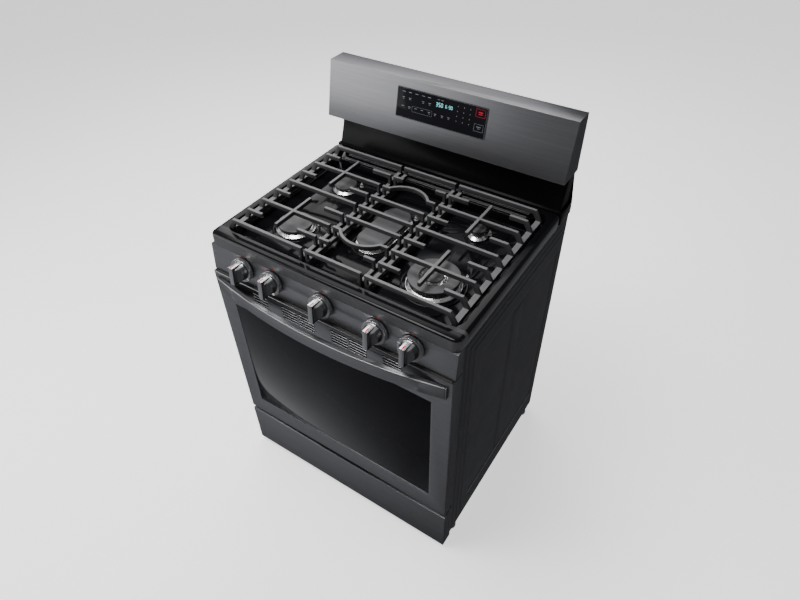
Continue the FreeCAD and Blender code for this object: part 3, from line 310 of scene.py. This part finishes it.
def dress(finish, *names):
    """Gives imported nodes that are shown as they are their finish."""
    for name in names:
        for place in frame["nodes"][name].material_slots:
            place.material = finish.material


dress(zinc, "base_frame", "levelling_legs", "back_cover", "hinge_arms", "door_hinges", "drawer_box")
dress(pipe_steel, "gas_supply_pipe", "bake_burner", "broil_burner",
      *[n for n in frame["nodes"] if n.startswith("valve_stem")])
dress(die_cast, "gas_manifold", "gas_regulator")


def bar_tree(kind):
    """A tree that sets one shape on every point, turned and stretched by the point's own values."""
    tree = bpy.data.node_groups.new("repeat_" + kind, "GeometryNodeTree")
    sizes = ("Length", "Width", "Height") if kind == "bar" else ("Radius", "Rise")
    tree.interface.new_socket("Geometry", in_out="INPUT", socket_type="NodeSocketGeometry")
    for name in sizes:
        tree.interface.new_socket(name, in_out="INPUT", socket_type="NodeSocketFloat")
    tree.interface.new_socket("Material", in_out="INPUT", socket_type="NodeSocketMaterial")
    tree.interface.new_socket("Geometry", in_out="OUTPUT", socket_type="NodeSocketGeometry")
    nodes, link = tree.nodes, tree.links.new
    start = nodes.new("NodeGroupInput")
    end = nodes.new("NodeGroupOutput")
    place = nodes.new("GeometryNodeInstanceOnPoints")
    if kind == "bar":
        shape = nodes.new("GeometryNodeMeshCube")
        span = nodes.new("ShaderNodeCombineXYZ")
        for axis, name in zip("XYZ", sizes):
            link(start.outputs[name], span.inputs[axis])
        link(span.outputs[0], shape.inputs["Size"])
        link(shape.outputs["Mesh"], place.inputs["Instance"])
    else:
        shape = nodes.new("GeometryNodeMeshUVSphere")
        shape.inputs["Segments"].default_value = 20
        shape.inputs["Rings"].default_value = 10
        link(start.outputs["Radius"], shape.inputs["Radius"])
        flat = nodes.new("GeometryNodeTransform")
        span = nodes.new("ShaderNodeCombineXYZ")
        span.inputs["X"].default_value = span.inputs["Y"].default_value = 1
        link(start.outputs["Rise"], span.inputs["Z"])
        link(shape.outputs["Mesh"], flat.inputs["Geometry"])
        link(span.outputs[0], flat.inputs["Scale"])
        link(flat.outputs["Geometry"], place.inputs["Instance"])
    for name, socket in (("turn", "Rotation"), ("stretch", "Scale")):
        value = nodes.new("GeometryNodeInputNamedAttribute")
        value.data_type = "FLOAT_VECTOR"
        value.inputs["Name"].default_value = name
        link(value.outputs[0], place.inputs[socket])
    solid = nodes.new("GeometryNodeRealizeInstances")
    painted = nodes.new("GeometryNodeSetMaterial")
    link(start.outputs["Geometry"], place.inputs["Points"])
    link(place.outputs["Instances"], solid.inputs["Geometry"])
    link(solid.outputs["Geometry"], painted.inputs["Geometry"])
    link(start.outputs["Material"], painted.inputs["Material"])
    link(painted.outputs["Geometry"], end.inputs[0])
    return tree


REPEAT = {"bar": bar_tree("bar"), "dome": bar_tree("dome")}


def repeat(name, kind, sizes, spots, finish, body, slot, *nodes):
    """Sets bars or domes at (place, turn, stretch) spots and keeps them as one piece."""
    mesh = bpy.data.meshes.new(name + "_points")
    mesh.from_pydata([tuple(place) for place, turn, stretch in spots], [], [])
    for label, column in (("turn", 1), ("stretch", 2)):
        values = mesh.attributes.new(label, "FLOAT_VECTOR", "POINT")
        values.data.foreach_set("vector", [number for spot in spots for number in spot[column]])
    piece = bpy.data.objects.new(name, mesh)
    bpy.context.collection.objects.link(piece)
    layout = piece.modifiers.new("layout", "NODES")
    layout.node_group = REPEAT[kind]
    wanted = dict(sizes, Material=finish.material)
    for item in layout.node_group.interface.items_tree:
        if item.in_out == "INPUT" and item.name in wanted:
            layout[item.identifier] = wanted[item.name]
    finished = bpy.data.meshes.new_from_object(piece.evaluated_get(bpy.context.evaluated_depsgraph_get()))
    piece.modifiers.clear()
    piece.data = finished
    piece.data.shade_smooth()
    piece.data.set_sharp_from_angle(angle=math.radians(35))
    for label in ("turn", "stretch"):
        if label in piece.data.attributes:
            piece.data.attributes.remove(piece.data.attributes[label])
    return keep(piece, body, slot, finish, *nodes)


UNIT = (1, 1, 1)
screw_x = (-0.3436, -0.1245, 0.1245, 0.3436)
screw_z = (0.08, 0.452, 0.864)
screw_spots = [((x, 0.3498, z), (math.pi / 2, 0, 0), UNIT) for x in screw_x for z in screw_z]
repeat("cover_screws", "dome", {"Radius": 0.0045, "Rise": 0.55}, screw_spots, pipe_steel, "cabinet",
       "galvanised", "cabinet_screws")
louvre_spots = [((x, 0.3500, z), (0.5, 0, 0), UNIT)
                for x in (-0.22, 0, 0.22) for z in np.arange(0.24, 0.40, 0.018)]
repeat("cover_louvres", "bar", {"Length": 0.12, "Width": 0.0012, "Height": 0.006}, louvre_spots, zinc,
       "cabinet", "galvanised")

# ------------------------------------------------------------------ oven box, racks and heat shield
# A pressed box in speckled grey-blue enamel, wrapped in glass wool, with chromed wire racks on pressed
# ledges. Tube burners below the floor plate and under the roof heat it.

oven_enamel = Finish("speckled_oven_enamel", roughness=0.16, coat_weight=0.4)
speck = oven_enamel.add("TexVoronoi", values={"Vector": oven_enamel.place(), "Scale": 760.0},
                        output="Distance")
oven_enamel.set({"Base Color": oven_enamel.blend(speck.above(0.55), (0.028, 0.030, 0.040),
                                                 (0.20, 0.21, 0.24))})
oven_enamel.bump(oven_enamel.noise(60, detail=2), 0.06, 0.0008)
dress(oven_enamel, "oven_liner", "oven_floor", "door_inner_panel")
wool = Finish("glass_wool", roughness=0.95)
fluff = wool.noise(240, detail=6)
wool.set({"Base Color": wool.blend(fluff, (0.50, 0.44, 0.24), (0.86, 0.80, 0.55))})
wool.bump(fluff, 0.9, 0.004)
dress(wool, "insulation")
chrome_wire = Finish("chromed_wire", metallic=1.0, base_color=(0.72, 0.72, 0.73))
chrome_wire.set({"Roughness": 0.08 + 0.16 * chrome_wire.noise(120)})
dress(chrome_wire, "oven_rack_lower", "oven_rack_upper")
brass = Finish("valve_brass", metallic=1.0, roughness=0.3)
turned = brass.noise(200, detail=3)
brass.set({"Base Color": brass.blend(turned, (0.52, 0.36, 0.13), (0.72, 0.54, 0.24)),
           "Roughness": 0.25 + 0.2 * turned})
dress(brass, "burner_valves")

# ------------------------------------------------------------------ gloss black enamelled pressings
# One deep-drawn steel pressing makes the cooktop, with a rolled rim, a well for spills and a shallow
# dish round each burner. The front frame carries the same fired black enamel, the riser a duller one.

enamel = Finish("gloss_black_enamel", ior=1.22)
backward = enamel.add("SeparateXYZ", values={"Vector": enamel.place()}, output="Y")
height = enamel.add("SeparateXYZ", values={"Vector": enamel.place()}, output="Z")
rolled_edge = (backward * -1).above(0.2575) * height.above(0.9165)
rim = (backward * -1).above(0.2465) * (1 - rolled_edge)
enamel.set({"Roughness": 0.07 + 0.09 * enamel.noise(6) + 0.34 * rim,
            "Base Color": enamel.blend(rim, (0.004, 0.004, 0.005), (0.040, 0.040, 0.043))})
enamel.bump(enamel.noise(22, detail=1), 0.04, 0.001)


def bent_copy(node, width, segments=3, angle=35, soft=30):
    """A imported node's shape with its doubles merged, its flats cleared and its edges rounded."""
    mesh = frame["nodes"][node].data.copy()
    shape = bmesh.new()
    shape.from_mesh(mesh)
    bmesh.ops.remove_doubles(shape, verts=shape.verts, dist=1e-5)
    bmesh.ops.dissolve_limit(shape, angle_limit=math.radians(1), verts=shape.verts, edges=shape.edges)
    shape.to_mesh(mesh)
    shape.free()
    mesh.polygons.foreach_set("use_smooth", [False] * len(mesh.polygons))
    piece = bpy.data.objects.new(node + "_finished", mesh)
    bpy.context.collection.objects.link(piece)
    rounding = piece.modifiers.new("edges", "BEVEL")
    rounding.width = width
    rounding.segments = segments
    rounding.limit_method = "ANGLE"
    rounding.angle_limit = math.radians(angle)
    rounding.use_clamp_overlap = True
    rounded = bpy.data.meshes.new_from_object(piece.evaluated_get(bpy.context.evaluated_depsgraph_get()))
    piece.modifiers.clear()
    piece.data = rounded
    rounded.shade_smooth()
    rounded.set_sharp_from_angle(angle=math.radians(soft))
    return piece


deep_black = Finish("riser_enamel", ior=1.12)
deep_black.set({"Roughness": 0.2 + 0.12 * deep_black.noise(9),
                "Base Color": deep_black.blend(deep_black.noise(14), (0.002, 0.002, 0.002),
                                               (0.005, 0.005, 0.006))})
for node, paint in (("cooktop", enamel), ("backguard_riser", deep_black), ("front_frame", enamel)):
    keep(bent_copy(node, 0.0009, 2), "cabinet", "black_enamel", paint, node)


def lathed(name, profile, centre, segments=96):
    """A closed (radius, height) profile turned round an upright axis."""
    count = len(profile)
    points, faces = [], []
    for step in range(segments):
        angle = 2 * math.pi * step / segments
        for radius, height in profile:
            points.append((centre[0] + radius * math.cos(angle), centre[1] + radius * math.sin(angle),
                           centre[2] + height))
    for step in range(segments):
        for place in range(count):
            low, high = step * count, (step + 1) % segments * count
            following = (place + 1) % count
            faces.append((low + place, high + place, high + following, low + following))
    return new_piece(name, points, faces)


def swept(name, path, section, closed=True, smooth=35):
    """A section of (across, up) points carried along a level path of (x, y, z) points."""
    count = len(section)
    points, faces = [], []
    total = len(path)
    for step, spot in enumerate(path):
        before = Vector(path[step - 1] if closed or step else path[0])
        after = Vector(path[(step + 1) % total] if closed or step < total - 1 else path[-1])
        along = (after - before).normalized()
        side = Vector((along.y, -along.x, 0))
        for across, up_by in section:
            points.append(Vector(spot) + side * across + Vector((0, 0, up_by)))
    for step in range(total if closed else total - 1):
        for place in range(count):
            low, high = step * count, (step + 1) % total * count
            following = (place + 1) % count
            faces.append((low + place, low + following, high + following, high + place))
    if not closed:
        faces.append(tuple(range(count))[::-1])
        faces.append(tuple(range((total - 1) * count, total * count)))
    return new_piece(name, points, faces, smooth)


def loop(half_x, y_low, y_high, corner, z, steps=10):
    """A level rounded rectangle, walked anticlockwise."""
    path = []
    corners = ((half_x, y_low, -90), (half_x, y_high, 0), (-half_x, y_high, 90), (-half_x, y_low, 180))
    for x, y, begin in corners:
        middle = (x - math.copysign(corner, x), y + corner if y == y_low else y - corner)
        for step in range(steps + 1):
            angle = math.radians(begin + 90 * step / steps)
            path.append((middle[0] + corner * math.cos(angle), middle[1] + corner * math.sin(angle), z))
    return path


bead = [(0.0022 * math.cos(a), 0.0011 * math.sin(a)) for a in np.linspace(0, math.pi, 7)]
bead += [(-0.0022, -0.0006), (0.0022, -0.0006)]
low_bead = [(a * 0.6, u * 0.35) for a, u in bead[::-1]]
keep(swept("well_bead", loop(0.3445, -0.2405, 0.1915, 0.024, 0.8921), bead[::-1]), "cabinet", "black_enamel",
     enamel)
keep(swept("rim_bead", loop(0.3575, -0.2550, 0.2560, 0.033, 0.9206), low_bead), "cabinet", "black_enamel",
     enamel)
PLATFORM = 0.8945  # the raised floor of the well that the burners stand on
OVAL_HALF, OVAL_Y = 0.055, -0.0175  # half the straight length of the oval burner, and its middle
BURNERS = {  # x, y, cap radius, dish radius and the height of the head's top
    "left_front": (-0.218, -0.1245, 0.0475, 0.062, 0.915),
    "left_rear": (-0.218, 0.1015, 0.0325, 0.044, 0.915),
    "right_rear": (0.218, 0.1015, 0.0205, 0.035, 0.922),
    "right_front": (0.218, -0.1245, 0.065, 0.081, 0.923),
}
dish = [(0.0026 * math.cos(a), 0.0013 * math.sin(a)) for a in np.linspace(0, math.pi, 9)]
dish += [(-0.0026, -0.0006), (0.0026, -0.0006)]
for name, (x, y, radius, ring, top) in BURNERS.items():
    keep(lathed("dish_" + name, [(ring + a, u) for a, u in dish][::-1], (x, y, PLATFORM)), "cabinet",
         "black_enamel", enamel)


def oval(radius, half, y_middle, z, steps=24):
    """A level oval with straight sides along Y, walked anticlockwise."""
    ends = [(half, 0), (-half, 180)]
    return [(radius * math.cos(math.radians(begin + 180 * s / steps)),
             y_middle + shift + radius * math.sin(math.radians(begin + 180 * s / steps)), z)
            for shift, begin in ends for s in range(steps + 1)]


keep(swept("dish_centre", oval(0.055, OVAL_HALF, OVAL_Y, PLATFORM), dish[::-1]), "cabinet", "black_enamel",
     enamel)

# ------------------------------------------------------------------ oven vent
# A pressed enamel cover over the flue at the back of the cooktop, with two long slots. Seven thin slats
# run along it: three are flush with its top, and two lie across the mouth of each slot.

keep(bent_copy("rear_vent", 0.0012, 3), "cabinet", "black_enamel", enamel, "rear_vent")
slat_y = (0.1985, 0.2070, 0.2130, 0.2205, 0.2280, 0.2340, 0.2425)
slat_spots = [((0, y, 0.9205), (0, 0, 0), UNIT) for y in slat_y]
slat_enamel = Finish("slat_enamel", roughness=0.3)
slat_enamel.set({"Base Color": slat_enamel.blend(slat_enamel.noise(80), (0.07, 0.07, 0.073),
                                                 (0.12, 0.12, 0.125))})
repeat("vent_slats", "bar", {"Length": 0.606, "Width": 0.0022, "Height": 0.0010}, slat_spots, slat_enamel,
       "cabinet", "black_enamel")

# ------------------------------------------------------------------ burners, caps and igniters
# Die-cast aluminium heads with flame ports round their walls stand on flared bright skirts. Enamelled
# caps lie loose on them, and a white ceramic igniter stands beside each.

alloy = Finish("bright_burner_alloy", metallic=1.0)
cast = alloy.noise(260, detail=4)
alloy.set({"Base Color": alloy.blend(cast, (0.70, 0.70, 0.69), (0.86, 0.86, 0.85)),
           "Roughness": 0.16 + 0.16 * cast})
alloy.bump(cast, 0.1, 0.0003)
# Near-black paint: painted shade in the flame ports, whose holes are not cut, and the own colour of the
# door's top screen teeth and the handle seam.
port_shade_and_trim_black = Finish("painted_port_shade_and_trim_black", roughness=0.7)
port_shade_and_trim_black.set({"Base Color": port_shade_and_trim_black.blend(port_shade_and_trim_black.noise(300), (0.008, 0.008, 0.008), (0.03, 0.028, 0.026))})
matt_cap = Finish("matt_cap_enamel", roughness=0.42)
dust = matt_cap.noise(500, detail=3)
matt_cap.set({"Base Color": matt_cap.blend(dust, (0.030, 0.030, 0.032), (0.055, 0.055, 0.058)),
              "Roughness": 0.36 + 0.14 * dust})
matt_cap.bump(dust, 0.15, 0.0003)
ceramic = Finish("igniter_ceramic", roughness=0.3)
ceramic.set({"Base Color": ceramic.blend(ceramic.noise(150), (0.30, 0.29, 0.27), (0.42, 0.41, 0.39))})
dress(ceramic, "spark_igniters")
for node in [n for n in frame["nodes"] if n.startswith("burner_base")]:
    keep(bent_copy(node, 0.0006, 2), "cabinet", "burner_alloy", alloy, node)
for body, group in frame["record"]["behaviour"]["bodies"].items():
    for node in group if isinstance(group, list) else group["nodes"]:
        if node.startswith("burner_cap"):
            keep(bent_copy(node, 0.0016, 4), body, "cap_enamel", matt_cap, node)
port_spots = []
for name, (x, y, radius, ring, top) in BURNERS.items():
    skirt = [(radius + 0.0055, 0.0012), (radius + 0.0058, 0.0032), (radius + 0.002, 0.0050),
             (radius - 0.0015, 0.0085), (radius - 0.0032, 0.0090), (radius - 0.0032, 0.0012)]
    keep(lathed("skirt_" + name, skirt[::-1], (x, y, PLATFORM)), "cabinet", "burner_alloy", alloy)
    number = int(2 * math.pi * radius / 0.0085)
    for port in range(number):
        angle = 2 * math.pi * port / number
        out = radius - 0.0028
        port_spots.append(((x + out * math.cos(angle), y + out * math.sin(angle), top - 0.0085),
                           (0, 0, angle), UNIT))
OVAL_PORTS, OVAL_TOP = 0.0382, 0.9065  # how far out and how high the oval burner's ports are
for x, y, z in oval(OVAL_PORTS, OVAL_HALF, OVAL_Y, OVAL_TOP, steps=14):
    around = math.atan2(y - OVAL_Y - math.copysign(OVAL_HALF, y - OVAL_Y), x)
    port_spots.append(((x, y, z), (0, 0, around), UNIT))
for step in range(-5, 6):
    for side in (-1, 1):
        port_spots.append(((side * OVAL_PORTS, OVAL_Y + step * 0.0095, OVAL_TOP), (0, 0, 0), UNIT))
# Dark bars stand in for the open holes of the flame ports: painted shade.
repeat("flame_ports", "bar", {"Length": 0.0014, "Width": 0.0022, "Height": 0.0042}, port_spots, port_shade_and_trim_black,
       "cabinet", "burner_alloy")

# ------------------------------------------------------------------ cast iron grates
# Three grates cast in grey iron under a matt porcelain skin. Their edges are softly rounded and the
# skin is slightly grainy to the touch. The tops of the bars are painted paler than their sides, a painted
# highlight of the light from above.

TOP_HIGHLIGHT = "painted_top_highlight"
iron = Finish("matt_cast_iron", specular_ior_level=0.35)
grain = iron.noise(650, detail=3)
# Painted highlight: faces that look up get a paler colour than the sides, standing in for the light that
# falls on the tops.
painted_top_highlight = iron.add("Attribute", {"attribute_name": TOP_HIGHLIGHT}, output="Fac")
skin = iron.blend(grain, (0.018, 0.018, 0.019), (0.034, 0.034, 0.036))
highlight_tone = iron.blend(grain, (0.085, 0.085, 0.088), (0.15, 0.15, 0.155))
iron.set({"Roughness": 0.42 + 0.2 * iron.noise(60), "Base Color": iron.blend(painted_top_highlight, skin, highlight_tone)})
iron.bump(grain, 0.3, 0.0005)
for name in ("left", "centre", "right"):
    grate = bent_copy("grate_" + name, 0.0017, 3)
    # Marks the faces that look up, which take the painted highlight.
    highlit_faces = grate.data.attributes.new(TOP_HIGHLIGHT, "FLOAT", "FACE")
    highlit_faces.data.foreach_set("value", [float(face.normal.z > 0.8) for face in grate.data.polygons])
    keep(grate, "grate_" + name, "cast_iron", iron, "grate_" + name)

# ------------------------------------------------------------------ control panel and backguard housing
# Folded black stainless steel, brushed along its length before its dark coating. The housing's top front
# fold has a large radius that catches the light.

black_steel = Finish("brushed_black_steel", metallic=0.95, anisotropic=0.8, specular_tint=(0.3, 0.3, 0.31))
hairline = black_steel.noise(60, detail=6, scale=(0.5, 26, 26), rough=0.7)
streak = black_steel.noise(7, detail=3, scale=(0.5, 22, 22))
tone = hairline * 0.6 + streak * 0.4
black_steel.set({"Roughness": 0.33 + 0.12 * hairline,
                 "Base Color": black_steel.blend(tone, (0.125, 0.125, 0.131), (0.255, 0.255, 0.265))})
black_steel.bump(hairline, 0.12, 0.0002)
keep(bent_copy("backguard_housing", 0.0045, 5), "cabinet", "black_stainless", black_steel,
     "backguard_housing")
keep(bent_copy("control_panel", 0.0013, 3), "cabinet", "black_stainless", black_steel, "control_panel")

# ------------------------------------------------------------------ touch panel
# A slab of black glass with its marks printed on the back: pale dashes for the keys, two framed keys at the
# right and a cyan clock whose digits light up from behind.

glass = Finish("black_glass", ior=1.11)
glass.set({"Base Color": glass.blend(glass.noise(4), (0.004, 0.004, 0.005), (0.009, 0.009, 0.011)),
           "Roughness": 0.05 + 0.05 * glass.noise(7)})
keep(bent_copy("touch_panel", 0.0006, 2), "cabinet", "door_glass", glass, "touch_panel")
slope = math.atan2(0.034, 0.159)
down = Vector((0, -math.sin(slope), -math.cos(slope)))
proud = Vector((0, -math.cos(slope), math.sin(slope)))
upright = (math.pi / 2 - slope, 0, 0)


def mark(x, fall, width, height):
    """One printed bar on the touch panel, x across and fall down its slope, in millimetres."""
    spot = Vector((x / 1000, 0.2765, 1.187)) + down * (fall / 1000) + proud * 0.00202
    return (spot, upright, (width, height, 1))


SEGMENTS = {"0": "abcdef", "3": "abgcd", "5": "afgcd", "6": "afgcde"}
BARS = {"a": (0, -1, True), "g": (0, 0, True), "d": (0, 1, True), "f": (-1, -0.5, False),
        "b": (1, -0.5, False), "e": (-1, 0.5, False), "c": (1, 0.5, False)}


def digits(text, x, fall, tall):
    """Seven-segment numerals from printed bars."""
    marks = []
    for character in text:
        if character == ":":
            marks += [mark(x, fall - tall * 0.18, 1.1, 1.1), mark(x, fall + tall * 0.18, 1.1, 1.1)]
            x += tall * 0.42
            continue
        for name in SEGMENTS[character]:
            across, below, level = BARS[name]
            size = (tall * 0.34, tall * 0.11) if level else (tall * 0.11, tall * 0.36)
            marks.append(mark(x + across * tall * 0.22, fall + below * tall * 0.44, *size))
        x += tall * 0.72
    return marks


def framed(x_low, x_high, fall_low, fall_high, line=0.5):
    """A printed outline of four bars."""
    x, fall = (x_low + x_high) / 2, (fall_low + fall_high) / 2
    return [mark(x, fall_low, x_high - x_low, line), mark(x, fall_high, x_high - x_low, line),
            mark(x_low, fall, line, fall_high - fall_low), mark(x_high, fall, line, fall_high - fall_low)]


def glow(name, colour, strength):
    """Ink that gives off light, a little uneven: the lit clock and key, and a faint painted glow on printed
    marks.
    """
    ink = Finish(name, roughness=0.6, ior=1.08, emission_strength=strength)
    ink.set({"Base Color": ink.blend(ink.noise(900), tuple(c * 0.8 for c in colour), colour),
             "Emission Color": ink.blend(ink.noise(900), tuple(c * 0.8 for c in colour), colour)})
    return ink


MILLIMETRE = {"Length": 0.001, "Width": 0.001, "Height": 0.00008}
# The printed pale marks glow faintly: a painted glow, as nothing lights them.
pale_ink_painted_glow = glow("pale_printed_ink_painted_glow", (0.20, 0.21, 0.225), 0.03)
cyan_light = glow("cyan_clock_light", (0.26, 0.70, 0.74), 0.6)
red_light = glow("red_key_light", (0.36, 0.02, 0.03), 0.06)
labels = [mark(x, 35, 9, 1.3) for x in (-118, -98, -77, -56, -37)]
labels += [mark(x, 50, 8, 1.2) for x in (-118, -97, -55, -34)]
labels += [mark(x, 54, 5, 1.0) for x in (-118, -97, -55, -34)]
labels += [mark(x, 74, 8, 1.2) for x in (-118, -97, -76, -56, -33, -14, 8, 28)]
labels += [mark(x, 78, 5, 1) for x in (-97, -33, -14, 8, 28)]
labels += [mark(x, fall, 1.6, 2.4) for x in (52, 71, 90) for fall in (38, 51, 64, 77)]
labels += framed(-88, -24, 69, 84, 0.35) + framed(106, 133, 70, 89)
labels += [mark(119.5, 77, 13, 1.5), mark(119.5, 81.5, 7, 1.2)]
labels += framed(-138.6, 138.6, 25.4, 105.6, 0.5) + [mark(x, 34, 7, 1.1) for x in (-8, 4)]
repeat("touch_labels", "bar", MILLIMETRE, labels, pale_ink_painted_glow, "cabinet", "door_glass")
clock = digits("350", -12, 47, 11) + digits("6:30", 17, 47, 9)
stop_key = framed(106, 133, 31, 51, 0.7) + [mark(119.5, 39, 12, 3), mark(119.5, 44, 12, 2)]
repeat("touch_clock", "bar", MILLIMETRE, clock, cyan_light, "cabinet", "door_glass")
repeat("touch_stop_key", "bar", MILLIMETRE, stop_key, red_light, "cabinet", "door_glass")

# ------------------------------------------------------------------ knobs
# Each knob is a die-cast disc with a tall grip bar across it. Its faces are dark brushed metal, while the
# disc's rim and the bar's top edge are polished bright and carry a red pointer.

knob_dark = Finish("dark_knob_metal", metallic=1.0)
swirl = knob_dark.noise(500, detail=3, scale=(1, 1, 0.08))
knob_dark.set({"Base Color": knob_dark.blend(swirl, (0.11, 0.11, 0.115), (0.22, 0.22, 0.225)),
               "Roughness": 0.24 + 0.14 * swirl})
polished = Finish("polished_knob_metal", metallic=1.0)
wipe = polished.noise(90)
polished.set({"Base Color": polished.blend(wipe, (0.80, 0.80, 0.81), (0.93, 0.93, 0.94)),
              "Roughness": 0.16 + 0.1 * wipe})
# The red pointer and panel ink glows faintly: a painted glow, as nothing lights it.
red_ink_painted_glow = glow("red_pointer_ink_painted_glow", (0.70, 0.02, 0.03), 0.05)
lean = math.atan2(0.008, 0.080)
outward = Vector((0, -math.cos(lean), math.sin(lean)))
upward = Vector((0, math.sin(lean), math.cos(lean)))
KNOBS = {"left_front": -0.262, "left_rear": -0.162, "centre": 0.0, "right_rear": 0.162,
         "right_front": 0.262}
PANEL_FACE, KNOB_HEIGHT = -0.2909, 0.850  # where a knob's axis meets the panel
DISC_EDGE, DISC_DEPTH, GRIP_TOP = 0.0285, 0.0158, 0.0262  # where the polished faces begin


def on_panel(x, across, rise, out):
    """A place on the leaning panel, in millimetres from a knob's middle."""
    middle = Vector((x + across / 1000, PANEL_FACE, KNOB_HEIGHT))
    return middle + upward * (rise / 1000) + outward * (out / 1000)


panel_marks = {"red": [], "pale": []}
face_turn = (math.pi / 2 - lean, 0, 0)
for name, x in KNOBS.items():
    piece = bent_copy("knob_" + name, 0.0011, 3, soft=28)
    keep(piece, "knob_" + name, "knob_metal", knob_dark, "knob_" + name)
    piece.data.materials.append(polished.material)
    middle = Vector((x, PANEL_FACE, KNOB_HEIGHT))
    for face in piece.data.polygons:
        away = face.center - middle
        rise, out, across = away.dot(upward), away.dot(outward), away.x
        rim = math.hypot(rise, across) > DISC_EDGE and out < DISC_DEPTH
        crown = rise > GRIP_TOP or (rise > 0.020 and face.normal.dot(upward) > 0.35)
        face.material_index = 1 if rim or crown else 0
    pointer = [(on_panel(x, 0, 27.05, 40.3), (-lean, 0, 0), (3.4, 15.0, 4.0))]
    repeat("pointer_" + name, "bar", MILLIMETRE, pointer, red_ink_painted_glow, "knob_" + name, "knob_metal")
    panel_marks["red"] += [(on_panel(x, -26, 29.5, 0.03), face_turn, (2.4, 2.4, 1)),
                           (on_panel(x, 0, 34.6, 0.03), face_turn, (7, 1.6, 1))]
    grid = [(a, b) for a in (-35, -32.4, -29.8) for b in (29, 31.6)]
    panel_marks["pale"] += [(on_panel(x, a, b, 0.03), face_turn, (1.5, 1.5, 1)) for a, b in grid]
    for degrees in (-120, -150, 180, 150, 120, 90, 60):
        angle = math.radians(degrees)
        spot = on_panel(x, 35.2 * math.sin(angle), 35.2 * math.cos(angle), 0.03)
        panel_marks["pale"].append((spot, face_turn, (0.9, 0.9, 1)))
repeat("panel_red_marks", "bar", MILLIMETRE, panel_marks["red"], red_ink_painted_glow, "cabinet", "black_stainless")
repeat("panel_pale_marks", "bar", MILLIMETRE, panel_marks["pale"], pale_ink_painted_glow, "cabinet", "black_stainless")

# ------------------------------------------------------------------ oven door
# The skin is the same black stainless steel, folded round a glass pane. Warm air leaves through six groups
# of pressed slots above the window and through a black screen along the top edge.

door_skin = bent_copy("door_outer_skin", 0.0010, 3)
keep(door_skin, "door", "black_stainless", black_steel, "door_outer_skin")
door_skin.data.materials.append(satin_black.material)
for face in door_skin.data.polygons:
    if face.normal.z > 0.6 and face.center.z > 0.798 and face.center.y > -0.3034:
        face.material_index = 1
keep(bent_copy("door_window", 0.0005, 2), "door", "door_glass", glass, "door_window")
dress(glass, "door_inner_glass")
vent_x = (-0.211, -0.1105, -0.0525, 0.0525, 0.1105, 0.211)
TOP_LIP, LIP_PITCH = 0.7828, 0.0095
lips = [((x, -0.3040, TOP_LIP - LIP_PITCH * row), (0.5, 0, 0), UNIT) for x in vent_x for row in range(5)]
# The lips are lighter grey and less metallic than the skin they are pressed from: a painted highlight where
# they catch the light.
lip_highlight_steel = Finish("pressed_lip_painted_highlight", metallic=0.4)
lip_highlight_steel.set({"Base Color": lip_highlight_steel.blend(lip_highlight_steel.noise(60), (0.24, 0.24, 0.25), (0.34, 0.34, 0.35)),
               "Roughness": 0.35 + 0.15 * lip_highlight_steel.noise(90)})
repeat("vent_lips", "bar", {"Length": 0.0506, "Width": 0.0009, "Height": 0.0020}, lips, lip_highlight_steel, "door",
       "black_stainless")
backs = [((x, -0.3000, 0.766), (0, 0, 0), UNIT) for x in vent_x]
# Near-black sheets behind the pressed slots: painted shade inside the door, seen through the slots.
slot_shade_black = Finish("painted_slot_shade", roughness=0.9, ior=1.02)
slot_shade_black.set({"Base Color": slot_shade_black.blend(slot_shade_black.noise(200), (0.001, 0.001, 0.001),
                                               (0.004, 0.004, 0.004))})
repeat("vent_backs", "bar", {"Length": 0.054, "Width": 0.0012, "Height": 0.050}, backs, slot_shade_black, "door",
       "black_stainless")
teeth = [((x, -0.2985, 0.8011), (0, 0, 0), UNIT) for x in np.arange(-0.369, 0.3691, 0.006)]
repeat("top_screen_teeth", "bar", {"Length": 0.0049, "Width": 0.0090, "Height": 0.0012}, teeth, port_shade_and_trim_black, "door",
       "black_stainless")
gasket = Finish("braided_glass_seal", roughness=0.9)
braid = gasket.add("TexWave", {"wave_type": "BANDS", "bands_direction": "DIAGONAL"},
                   {"Vector": gasket.place(), "Scale": 190.0, "Distortion": 2.0}, output="Fac")
gasket.set({"Base Color": gasket.blend(braid, (0.10, 0.10, 0.10), (0.34, 0.34, 0.33))})
gasket.bump(braid, 0.7, 0.001)
dress(gasket, "door_gasket")
trim = Finish("bright_window_edge", metallic=1.0)
trim.set({"Base Color": trim.blend(trim.noise(40), (0.20, 0.20, 0.21), (0.34, 0.34, 0.35)),
          "Roughness": 0.2 + 0.1 * trim.noise(90)})
frame_bars = [((0, -0.3036, 0.2704), (0, 0, 0), (645.6, 0.9, 0.8))]
frame_bars += [((x, -0.3036, 0.4855), (0, 0, 0), (0.8, 0.9, 430)) for x in (0.3226, -0.3226)]
repeat("window_edge", "bar", {"Length": 0.001, "Width": 0.001, "Height": 0.001}, frame_bars, trim, "door",
       "black_stainless")

# ------------------------------------------------------------------ door handle
# A bowed bar of folded black stainless steel with cast end caps. A dark seam runs along the front edge of
# its top, where the two folded halves meet.

keep(bent_copy("door_handle", 0.0022, 4, soft=40), "door", "black_stainless", black_steel, "door_handle")
keep(bent_copy("handle_end_caps", 0.0010, 3), "door", "black_stainless", black_steel, "handle_end_caps")
bow = 1.6186
flat = [(-0.0007, -0.0002), (0.0007, -0.0002), (0.0007, 0.0002), (-0.0007, 0.0002)]
seam = []
for x in np.linspace(-0.359, 0.359, 61):
    front = -0.3525 + bow - math.sqrt(bow * bow - x * x)
    seam.append((x, front + 0.0042, 0.78503))
keep(swept("handle_seam", seam, flat, closed=False), "door", "black_stainless", port_shade_and_trim_black)

# ------------------------------------------------------------------ storage drawer
# A folded black stainless front on a zinc tray. Its upper edge is rolled over and catches the light.

keep(bent_copy("drawer_front", 0.0022, 4), "drawer", "black_stainless", black_steel, "drawer_front")
